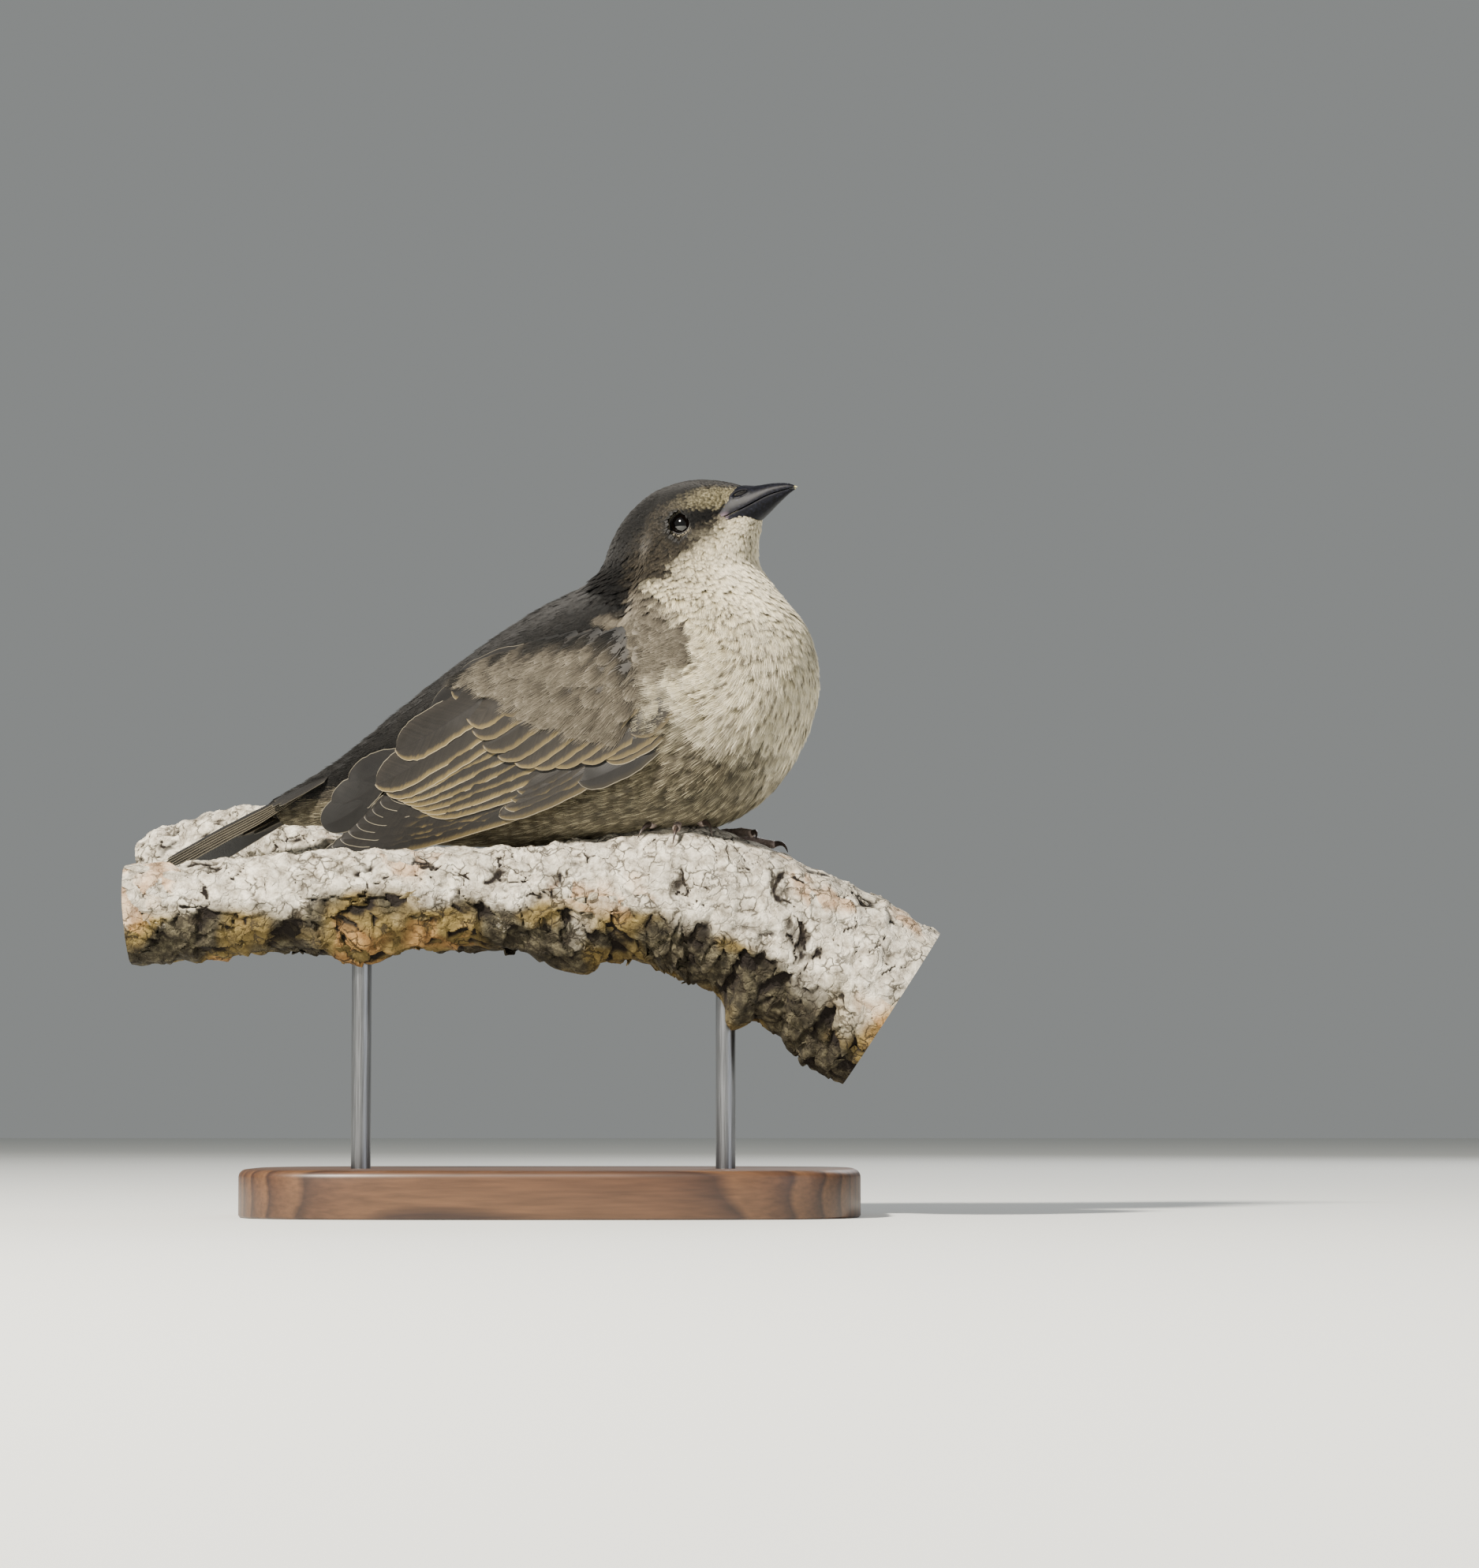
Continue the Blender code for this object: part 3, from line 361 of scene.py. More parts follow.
def wet_eye():
    """The eye: a wet cornea over a very dark brown iris and a black pupil."""
    made, node = finish("wet_eye")
    stops = [(0.0, "#030202"), (0.45, "#030202"), (0.55, "#070504"), (0.8, "#0b0706"), (1.0, "#040303")]
    colour = node("ValToRGB", "", node("Attribute", "from_pole", out="Fac"), stops=stops)
    return dress(made, colour, 0.08, Coat_Weight=0.6, Coat_Roughness=0.03)


def grained(name, grain, stops, roughness):
    """A plain finish whose colour varies between two stops with a noise of the grain's size in millimetres."""
    made, node = finish(name)
    noise = node("TexNoise", "", node("TexCoord", out="Object"), PER_MM / grain, 2.0)
    return dress(made, node("ValToRGB", "", noise, stops=stops), roughness)


def lid_skin():
    """The lid's bare rim: thin dark skin, slightly moist."""
    return grained("lid_skin", 0.5, [(0.3, "#080606"), (0.7, "#14100e")], 0.5)


def claw_horn():
    """Claw: smooth dark horn, worn a little paler in places."""
    return grained("claw_horn", 1.2, [(0.3, "#241d1a"), (0.75, "#4a3e38")], 0.3)


def foot_skin():
    """Bare foot: small horny scutes, pinkish grey-brown, dry and slightly glossy, and darker in the creases, where
    shade is painted.
    """
    made, node = finish("foot_skin")
    grain = node("TexNoise", "", node("TexCoord", out="Object"), PER_MM / 0.8, 2.0)
    colour = node("ValToRGB", "", grain, stops=[(0.3, "#75665f"), (0.7, "#a3948c")])
    return dress(made, node("Mix", "RGBA", node("Attribute", "crease", out="Fac"), colour, "#40302a"), 0.45)


def bark():
    """Old weathered bark: a crumpled crust bleached nearly white by the sun on top, and underneath dark olive-brown
    flakes with bare ochre between them; the underside's dark colours are partly the flakes' own and partly painted
    shade under the branch. Hollows and cracks carry painted shade. Rust shows where the crust has lately come off."""
    made, node = finish("bark")
    place = node("TexCoord", out="Object")
    marks, low = node("Attribute", "bark", out=("Color", "Alpha"))
    hollow_shade, own = node("SeparateColor", "", marks, out=(0, 1))
    broad = node("TexNoise", "", place, PER_MM / 24.0, 2.0)
    grain = node("TexNoise", "", place, PER_MM / 3.2, 5.0, 0.7)
    patchy = node("TexNoise", "", place, PER_MM / 6.0, 2.0)
    swirl = node("TexNoise", "", place, PER_MM / 2.5, 3.0, out="Color")
    warped = node("VectorMath", "MULTIPLY_ADD", swirl, (0.004, 0.004, 0.004), place)
    crackle = node("TexVoronoi", "DISTANCE_TO_EDGE", warped, PER_MM / 3.4)
    chalk, shade, ochre, rust = (
        node("ValToRGB", "", grain, stops=stops)
        for stops in (
            [(0.28, "#5f574b"), (0.44, "#a59d8e"), (0.6, "#d2cbbb"), (0.75, "#e0dacb")],
            [(0.3, "#17140f"), (0.5, "#3a3529"), (0.7, "#6b644f")],
            [(0.3, "#443820"), (0.6, "#7a693e"), (0.8, "#968457")],
            [(0.3, "#6f4824"), (0.7, "#b98f5c")],
        )
    )
    # Underneath, by which way the bark faces: dark flakes and bare ochre, their darkness partly the flakes' own colour
    # and partly painted shade under the branch.
    under = node("Mix", "RGBA", node("MapRange", "SMOOTHSTEP", broad, 0.47, 0.57), shade, ochre)
    colour = node("Mix", "RGBA", low, chalk, under)
    rusty = node("MapRange", "SMOOTHSTEP", broad, 0.57, 0.66, 0.0, 0.6)
    rusty = node("Math", "MULTIPLY", rusty, node("MapRange", "LINEAR", own, 0.35, 0.6))
    colour = node("Mix", "RGBA", rusty, colour, rust)
    colour = node("VectorMath", "SCALE", colour, node("MapRange", "LINEAR", own, 0.0, 1.0, 0.82, 1.1))
    # The hollows of the crust and the cracks are darkened: painted shade.
    colour = node("Mix", "RGBA", node("MapRange", "SMOOTHSTEP", hollow_shade, 0.5, 0.95), colour, "#1a1511")
    # Fine crackle lines in patches are darkened: painted shade in the hairline cracks.
    crack_shade = node("MapRange", "SMOOTHSTEP", crackle, 0.1, 0.02)
    crack_shade = node("Math", "MULTIPLY", crack_shade, node("MapRange", "SMOOTHSTEP", patchy, 0.46, 0.6, 0.0, 0.8))
    colour = node("Mix", "RGBA", crack_shade, colour, "#2a241b")
    rough = node("Math", "MULTIPLY_ADD", node("MapRange", "LINEAR", crackle, 0.0, 0.12), 0.35, grain)
    return dress(made, colour, 0.9, Normal=node("Bump", "", 0.9, 0.0007, None, rough), Specular_IOR_Level=0.2)


def cut_wood():
    """The sawn end of a branch: fine growth rings round a darker heart."""
    made, node = finish("cut_wood")
    radius = node("Attribute", "from_heart", out="Fac")
    warp = node("TexNoise", "", node("TexCoord", out="Object"), PER_MM / 8.0, 2.0)
    ring = node("Math", "MULTIPLY", node("Math", "MULTIPLY_ADD", warp, 1.6, radius), 0.95)
    stops = [(0.0, "#a98a62"), (0.7, "#94744d"), (0.92, "#6b4f33"), (1.0, "#a98a62")]
    colour = node("ValToRGB", "", node("Math", "FRACT", ring), stops=stops)
    return dress(made, node("Mix", "RGBA", node("MapRange", "LINEAR", radius, 6.0, 2.0), colour, "#6a4a30"), 0.75)


def base_wood():
    """The stand's base: planed walnut under a thin satin oil, its grain running along it."""
    made, node = finish("base_wood")
    place = node("TexCoord", out="Object")
    long_way = node("Mapping", "", place, None, None, (0.07, 1.0, 1.0))
    bend = node("TexNoise", "", long_way, PER_MM / 45.0, 1.0)
    ring = node("Math", "MULTIPLY_ADD", bend, 0.05, node("SeparateXYZ", "", place, out="Y"))
    ring = node("Math", "FRACT", node("Math", "MULTIPLY", ring, PER_MM / 6.0))
    stops = [(0.0, "#5a3f2a"), (0.55, "#4a3222"), (0.85, "#33221a"), (1.0, "#5a3f2a")]
    colour = node("ValToRGB", "", ring, stops=stops)
    fibre = node("TexNoise", "", long_way, PER_MM / 0.9, 3.0)
    colour = node("VectorMath", "SCALE", colour, node("MapRange", "LINEAR", fibre, 0.3, 0.7, 0.75, 1.2))
    return dress(made, colour, 0.42, Normal=node("Bump", "", 0.25, 0.00005, None, fibre))


def rod_steel():
    """The rods: drawn stainless steel, brushed along its length with fine grit."""
    made, node = finish("rod_steel")
    long_way = node("Mapping", "", node("TexCoord", out="Object"), None, None, (1.0, 1.0, 0.02))
    line = node("TexNoise", "", long_way, PER_MM / 0.25, 2.0)
    colour = node("ValToRGB", "", line, stops=[(0.3, "#6f7073"), (0.7, "#94969a")])
    rough = node("MapRange", "LINEAR", line, 0.0, 1.0, 0.24, 0.42)
    return dress(made, colour, rough, Normal=node("Bump", "", 0.2, 0.00002, None, line), Metallic=1.0)


# Meshes


def to_world(points):
    """Points of the bird's frame in the stand's frame, both in millimetres."""
    c, s = math.cos(BIRD_TURN), math.sin(BIRD_TURN)
    f, side, z = points[..., 0], points[..., 1], points[..., 2]
    return np.stack([BIRD_AT[0] + f * c - side * s, BIRD_AT[1] + f * s + side * c, BIRD_AT[2] + z], axis=-1)


def head_turned(points):
    """Turns points of the head, given as if it looked straight ahead, to where the head looks."""
    points = np.asarray(points, float)
    c, s = math.cos(HEAD_TURN), math.sin(HEAD_TURN)
    f, side, z = points[..., 0], points[..., 1], points[..., 2]
    return np.stack([f * c + side * s, side * c - f * s, z], axis=-1)


def piece(name, points, faces, finishes, slot, replaced=(), uv=None, values=None, bird=True, sharp=None):
    """A mesh object from whole arrays: points in millimetres, faces as a list of (corner indices, finish number), uv
    maps and values as arrays with one row for each point."""
    points = np.asarray(points, float).reshape(-1, 3)
    if bird:
        points = to_world(points)
    mesh = bpy.data.meshes.new(name)
    mesh.vertices.add(len(points))
    mesh.vertices.foreach_set("co", (points * MM).astype(np.float32).ravel())
    corners = np.concatenate([f.ravel() for f, _ in faces]).astype(np.int32)
    sizes = np.concatenate([np.full(len(f), f.shape[1]) for f, _ in faces])
    finish_of = np.concatenate([np.full(len(f), m) for f, m in faces])
    mesh.loops.add(len(corners))
    mesh.loops.foreach_set("vertex_index", corners)
    mesh.polygons.add(len(sizes))
    mesh.polygons.foreach_set("loop_start", np.concatenate([[0], np.cumsum(sizes)[:-1]]).astype(np.int32))
    mesh.polygons.foreach_set("material_index", finish_of.astype(np.int32))
    mesh.update(calc_edges=True)
    for key, data in (uv or {}).items():
        mesh.uv_layers.new(name=key).data.foreach_set("uv", data[corners].astype(np.float32).ravel())
    for key, data in (values or {}).items():
        kind, field = ("FLOAT_COLOR", "color") if data.ndim == 2 else ("FLOAT", "value")
        mesh.attributes.new(key, kind, "POINT").data.foreach_set(field, data.astype(np.float32).ravel())
    mesh.validate()
    for made in finishes:
        mesh.materials.append(made)
    mesh.shade_smooth()
    if sharp is not None:
        mesh.set_sharp_from_angle(angle=math.radians(sharp))
    made = bpy.data.objects.new(name, mesh)
    bpy.context.scene.collection.objects.link(made)
    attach(made, "root")
    if replaced:
        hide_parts(*replaced)


def grid_faces(rows, cols, closed_round=False):
    """Corner indices of the quads of a grid of rows by cols points, going round in cols if it closes."""
    i = np.arange(rows - 1)[:, None]
    j = np.arange(cols if closed_round else cols - 1)[None, :]
    k = (j + 1) % cols
    return np.stack([i * cols + j, (i + 1) * cols + j, (i + 1) * cols + k, i * cols + k], axis=-1).reshape(-1, 4)


def closed_grid(rows, cols):
    """Corner indices of the quads of a grid that closes both ways, such as a ring's."""
    i, j = np.meshgrid(np.arange(rows), np.arange(cols), indexing="ij")
    k, m = (i + 1) % rows, (j + 1) % cols
    return np.stack([i * cols + j, k * cols + j, k * cols + m, i * cols + m], axis=-1).reshape(-1, 4)


def capped(rows, cols, turned_over=False):
    """Faces of a grid that closes round in cols, whose first and last rows close in a fan round two more points."""
    k = np.arange(cols)
    after, last = (k + 1) % cols, (rows - 1) * cols
    first_fan = np.stack([np.full(cols, rows * cols), k, after], axis=-1)
    last_fan = np.stack([np.full(cols, rows * cols + 1), last + after, last + k], axis=-1)
    faces = [grid_faces(rows, cols, True), np.concatenate([first_fan, last_fan])]
    return [(f[:, ::-1] if turned_over else f, 0) for f in faces]


def blade_faces(rows, cols, top, out):
    """Quads of a thin blade: a grid of points under another one, joined round the rim. They face outward where out
    points away from the top side."""
    grid = grid_faces(rows, cols)
    size, last = rows * cols, (rows - 1) * cols
    right, left = np.arange(1, rows) * cols + cols - 1, np.arange(rows - 2, 0, -1) * cols
    rim = np.concatenate([np.arange(cols), right, last + np.arange(cols - 2, -1, -1), left])
    after = np.roll(rim, -1)
    sides = np.stack([rim, after, after + size, rim + size], axis=-1)
    faces = np.concatenate([grid + size, grid[:, ::-1], sides])
    k = cols // 2
    facing = np.dot(np.cross(top[1, k] - top[0, k], top[1, k + 1] - top[1, k]), out)
    return faces[:, ::-1] if facing < 0.0 else faces


def spike_faces(count):
    """The four faces of each of a row of spikes, which have their base's three corners first and then their tip."""
    b = np.arange(count) * 4
    corners = ((0, 3, 1), (1, 3, 2), (0, 2, 3), (0, 1, 2))
    return np.concatenate([np.stack([b + i, b + j, b + k], axis=-1) for i, j, k in corners])


def joined(parts):
    """Parts of (points, faces) as one: their points, and each kind of face with its corners counted on."""
    starts = np.cumsum([0] + [len(points) for points, _ in parts])
    kinds = range(len(parts[0][1]))
    faces = [np.concatenate([f[k][0] + start for (_, f), start in zip(parts, starts)]) for k in kinds]
    return np.concatenate([points for points, _ in parts]), [(f, 0) for f in faces]


def thinned(places, gaps):
    """Which of the places stay when each that stays clears those nearer to it than its gap."""
    tree = KDTree(len(places))
    for k, p in enumerate(places):
        tree.insert(p, k)
    tree.balance()
    state = np.zeros(len(places), np.int8)
    for k, p in enumerate(places):
        if state[k] == 0:
            state[k] = 1
            for _, other, _ in tree.find_range(p, gaps[k]):
                if state[other] == 0:
                    state[other] = 2
    return state == 1


# The flesh, which the skin and the coat follow

TABLE_ROWS = 520
TABLE_COLS = 300
LAST_RIB = float(RIB["bill_base"])


def wing_low(f):
    """Height of the folded wing's lower edge at the distance f forward."""
    return WING_LOW[0] + WING_LOW[1] * f + WING_LOW[2] * f * f


def flesh(t, a, bed_front=(19.0, 10.0)):
    """Place on the flesh at the rib number t and the angle a round it from the back: an ellipse-like section. Returns
    the place with the head turned, and with it straight. The wing's bed begins at bed_front: where, over how far."""
    t, a = np.broadcast_arrays(np.asarray(t, float), np.asarray(a, float))
    spine = through([r[1:] for r in RIBS], t.ravel()).reshape(t.shape + (5,))
    rise = power(np.cos(a), 2.0 / SECTION_POWER) - WIDEST_DROP * np.sin(a) ** 2
    back_f, back_z, belly_f, belly_z, half = np.moveaxis(spine, -1, 0)
    f = (back_f + belly_f) / 2.0 + (back_f - belly_f) / 2.0 * rise
    z = (back_z + belly_z) / 2.0 + (back_z - belly_z) / 2.0 * rise
    lf, lz, reach, share = LORES
    hollow = share * np.exp(-((f - lf) ** 2 + (z - lz) ** 2) / reach**2)
    width = half * power(np.sin(a), 2.0 / SECTION_POWER) * (1.0 - hollow)
    front = smooth_step((bed_front[0] - f) / bed_front[1])
    low = smooth_step((z - wing_low(f) + 4.0) / 6.0)
    width = width - np.sign(width) * WING_BED * front * low * smooth_step((np.abs(width) - 4.0) / 9.0)
    turn = HEAD_TURN * smooth_step((t - RIB["chest"]) / 3.5)
    c, s = np.cos(turn), np.sin(turn)
    return np.stack([f * c + width * s, width * c - f * s, z], axis=-1), np.stack([f, width, z], axis=-1)


def back_angle(a):
    """Degrees round the body from the back, 0 to 180, the same on both sides."""
    return np.degrees(np.abs((np.asarray(a) + math.pi) % (2.0 * math.pi) - math.pi))


def lie_of(straight, along, normal, t, angle):
    """The way the feathers lie: from the bill to the tail over the flesh, back over the bend of the wing, and parted
    round the eye."""
    breast = bell(t, 7.5, 0.9) * bell(angle, 100.0, 28.0)
    way = unit(-along) + breast[..., None] * np.array([-1.6, 0.0, 0.3])
    away = (straight - [EYE_AT[0], 0.0, EYE_AT[1]]) * [1.0, 0.0, 1.0]
    far = np.linalg.norm(away, axis=-1)
    part = 1.3 * bell(far, 0.0, 5.0) * (t > 9.0)
    way = way + (part / np.maximum(far, 0.5))[..., None] * away
    return unit(way - normal * np.sum(way * normal, axis=-1, keepdims=True))


def hide_table(bed_front):
    """Place, normal, lie, and the two gradients that turn a step over the surface into steps of t and a, on a grid of
    the flesh."""
    t = np.linspace(0.0, LAST_RIB, TABLE_ROWS)[:, None]
    a = all_round(TABLE_COLS)[None, :]
    place, straight = flesh(t, a, bed_front)
    along = np.gradient(place, LAST_RIB / (TABLE_ROWS - 1), axis=0)
    round_it = (np.roll(place, -1, axis=1) - np.roll(place, 1, axis=1)) / (4.0 * math.pi / TABLE_COLS)
    normal = unit(np.cross(along, round_it))
    lie = lie_of(straight, along, normal, *np.broadcast_arrays(t, back_angle(a)))
    tt = np.sum(along * along, axis=-1)
    aa = np.maximum(np.sum(round_it * round_it, axis=-1), 1.0)
    ta = np.sum(along * round_it, axis=-1)
    room = np.maximum(tt * aa - ta * ta, 1e-3)
    to_t = (along * aa[..., None] - round_it * ta[..., None]) / room[..., None]
    to_a = (round_it * tt[..., None] - along * ta[..., None]) / room[..., None]
    return np.concatenate([place, normal, lie, to_t, to_a, straight], axis=-1).astype(np.float32)


def sample(table, t, a):
    """Blends the four nearest entries of a table of the flesh, which closes on itself round the body."""
    x = np.clip(t / LAST_RIB, 0.0, 1.0) * (TABLE_ROWS - 1)
    i = np.minimum(x.astype(int), TABLE_ROWS - 2)
    u = (x - i)[:, None]
    y = (a / (2.0 * math.pi)) % 1.0 * TABLE_COLS
    j = np.minimum(y.astype(int), TABLE_COLS - 1)
    v = (y - j)[:, None]
    k = (j + 1) % TABLE_COLS
    return (table[i, j] * (1 - u) + table[i + 1, j] * u) * (1 - v) + (table[i, k] * (1 - u) + table[i + 1, k] * u) * v


SKIN_HIDE = hide_table((14.0, 5.0))
COAT_HIDE = hide_table((-4.0, 6.0))

# Borders of the plumage, as (rib, degrees from the back), and how soft they are
CROWN = (
    (0.0, 88), (3.0, 86), (5.0, 80), (6.5, 70), (7.3, 58), (8.3, 60), (9.1, 66), (9.5, 61), (10.2, 58), (10.9, 58),
    (11.6, 60), (12.5, 62), (13.1, 64), (13.6, 66), (14.0, 68), (14.7, 64), (15.5, 54), (16.2, 44), (17.0, 36),
)
CHIN = (
    (6.2, 100), (7.3, 99), (7.7, 102), (8.3, 97), (8.65, 84), (9.1, 78), (9.5, 80), (9.8, 90), (10.3, 100),
    (11.4, 117), (12.5, 123), (13.4, 121), (14.3, 119), (15.5, 118), (17.0, 119),
)
SOFT = ((6.0, 12.0), (8.0, 6.0), (8.6, 9.0), (9.5, 13.0), (11.0, 26.0), (13.0, 26.0), (14.0, 14.0), (17.0, 8.0))
BROW_LOW = ((13.2, 78), (13.8, 85), (14.1, 90), (14.5, 98), (16.0, 101), (17.0, 103))
LORE_LOW = ((12.4, 98), (12.9, 104), (13.4, 107), (14.1, 109), (15.0, 112), (17.0, 114))
# The same for the rib where the pale breast begins, by degrees from the back
BREAST = ((90.0, 6.75), (100.0, 6.8), (124.0, 7.0), (150.0, 7.1), (180.0, 7.0))
# By rib: how deep the coat is, and its feathers' length, width, spacing, height of the tip and roundness across
DEPTH = ((0.0, 0.7), (1.2, 1.2), (7.0, 1.7), (8.5, 1.5), (10.0, 1.0), (12.0, 0.65), (16.0, 0.45), (17.0, 0.2))
LENGTH = (
    (0.0, 7.0), (1.0, 9.0), (3.0, 9.0), (6.0, 8.4), (8.0, 7.2), (9.2, 5.4), (10.5, 4.0), (12.0, 3.0), (14.0, 2.2),
    (17.0, 1.5),
)
WIDTH = (
    (0.0, 4.0), (1.0, 5.0), (6.0, 4.8), (8.0, 4.2), (9.2, 3.1), (10.5, 2.2), (12.0, 1.6), (14.0, 1.2), (17.0, 0.9),
)
SPACING = (
    (0.0, 1.5), (1.0, 1.9), (6.0, 1.75), (8.0, 1.5), (9.2, 1.15), (10.5, 0.9), (12.0, 0.68), (14.0, 0.54), (17.0, 0.45),
)
TIP_HEIGHT = ((1.0, 0.05), (7.0, 0.1), (9.0, 0.05), (12.0, 0.0), (17.0, -0.05))
ROUNDNESS = ((0.0, 7.0), (4.0, 18.0), (8.0, 26.0), (10.0, 16.0), (13.0, 10.0), (17.0, 6.0))


def pack_masks(count, **parts):
    """The tract masks and random numbers as three colour attributes. One that isn't given is 0."""
    none = np.zeros(count)
    return {
        key: np.stack([none + parts.get(name, 0.0) for name in names] + [none + 1.0], axis=-1)
        for key, names in TRACTS.items()
    }


def mask_values(t, a, chance, strand):
    """Where each colour of the plumage lies, from 0 to 1, with each feather's own random numbers. The borders are
    lines of angle from the back against rib, and each feather's chance scatters it across them."""
    scatter_by = (chance * 7.31) % 1.0 - 0.5
    angle = back_angle(a) + 9.0 * scatter_by
    t = t + along_line(t, ((7.4, 0.5), (8.4, 0.1), (17.0, 0.1))) * scatter_by
    crown, soft, brow_low = along_line(t, CROWN), along_line(t, SOFT), along_line(t, BROW_LOW)
    wander = 5.0 * grid_noise(t * 2.0, angle / 12.0, 1.0, seed=71)
    ahead = smooth_step((t - along_line(angle, BREAST) + 0.05 * wander) / 0.9 + 0.5)
    pale = smooth_step((angle - along_line(t, CHIN) + wander) / (1.2 * soft) + 0.5) * ahead
    brow = smooth_step((angle - crown - 8.0) / 30.0 + 0.5) * smooth_step((brow_low - angle) / 3.0 + 0.5)
    lore = smooth_step((angle - brow_low) / 3.0 + 0.5) * smooth_step((along_line(t, LORE_LOW) - angle) / 5.0 + 0.5)
    lore = lore * smooth_step((t - 12.7) / 0.3)
    return pack_masks(
        len(t),
        dark=1.0 - smooth_step((angle - crown + wander) / soft + 0.5),
        pale=pale * (1.0 - lore),
        olive=(1.0 - ahead) * smooth_step((angle - 80.0) / 20.0),
        brow=brow * smooth_step((t - 13.4) / 1.8) * (1.0 - lore),
        lore=lore,
        shoulder=smooth_step((9.3 - t) / 0.6),
        throat=smooth_step((angle - 118.0) / 20.0) * smooth_step((t - 9.2) / 1.2),
        chance=chance,
        strand=strand,
    )


def skin():
    """The bare skin under the coat: the flesh's grid, sunk by the coat's depth, closed by a fan at each end."""
    rows, cols = 190, 120
    t, a = np.meshgrid(np.linspace(0.05, LAST_RIB, rows), all_round(cols), indexing="ij")
    t, a = t.ravel(), a.ravel()
    found = sample(SKIN_HIDE, t, a)
    points = found[:, 0:3] - unit(found[:, 3:6]) * along_line(t, DEPTH)[:, None]
    points = np.concatenate([points, points[:cols].mean(0)[None], points[-cols:].mean(0)[None]])
    t, a = np.append(t, [t[0], t[-1]]), np.append(a, [0.0, 0.0])
    middling = np.full(len(t), 0.4)
    piece("skin", points, capped(rows, cols), [PLUMAGE], "plumage_pale", ("torso", "neck", "head"),
          {"vane": np.full((len(t), 2), 0.5)}, mask_values(t, a, middling, middling))


# The coat

PATCH = 0.003
STATIONS = np.array([0.0, 0.25, 0.5, 0.75, 1.0, 1.3])
OUTLINE = ((0.0, 0.42), (0.3, 0.84), (0.6, 1.0), (0.8, 0.9), (0.92, 0.64), (1.0, 0.26))
LEAF_END = 0.84
LEAF_ROWS = 5
LEAF_COLS = 3
PIECE_TRIANGLES = 180000
WING_TOP = ((-100, 30), (-81, 37), (-63, 54), (-48.6, 61.5), (-29, 66), (-16, 67.5), (-7, 67), (5, 60))


def walk(table, t, a, angle, step):
    """Moves over the flesh by a step in millimetres along the lie turned by an angle."""
    here = sample(table, t, a)
    lie, normal = unit(here[:, 6:9]), unit(here[:, 3:6])
    way = lie * np.cos(angle)[:, None] + np.cross(normal, lie) * np.sin(angle)[:, None]
    way = way * step[:, None]
    dt = np.clip(np.sum(way * here[:, 9:12], axis=-1), -0.8, 0.8)
    da = np.clip(np.sum(way * here[:, 12:15], axis=-1), -0.6, 0.6)
    return np.clip(t + dt, 0.0, LAST_RIB), a + da


def quills(table, t, a, skew, length):
    """Walks the centre line of each feather over the flesh. Returns places and normals at the stations, and where
    three quarters of each feather are."""
    places, normals = [], []
    for k, s in enumerate(STATIONS):
        if k:
            t, a = walk(table, t, a, skew * (1.0 - 0.6 * s), length * (s - STATIONS[k - 1]))
        here = sample(table, t, a)
        places.append(here[:, 0:3])
        normals.append(unit(here[:, 3:6]))
        if s == 0.75:
            middle = t, a
    return np.stack(places, axis=1), np.stack(normals, axis=1), middle


def on_quill(data, who, s):
    """The value at s along the centre line of the feathers who, between two stations."""
    k = np.clip(np.searchsorted(STATIONS, s, side="right") - 1, 0, len(STATIONS) - 2)
    u = (s - STATIONS[k]) / (STATIONS[k + 1] - STATIONS[k])
    return data[who, k] * (1.0 - u[..., None]) + data[who, k + 1] * u[..., None]


def feather_points(walked, who, s, e, width, low, high, bend):
    """Places on feathers: s along, e from edge to edge (-1 to 1). The tip is the highest, and the edges turn down."""
    places, normals = walked
    centre = on_quill(places, who, s)
    normal = unit(on_quill(normals, who, s))
    ahead = unit(on_quill(places, who, s + 0.02) - centre)
    aside = unit(np.cross(normal, ahead))
    off = e * 0.5 * width[who] * along_line(s, OUTLINE)
    lift = low[who] + (high[who] - low[who]) * np.minimum(s, 1.0) ** 0.8 + 0.03 * width[who] * (1.0 - e**2)
    lift = lift - off**2 / (2.0 * bend[who])
    return centre + aside * off[..., None] + normal * lift[..., None], normal, aside


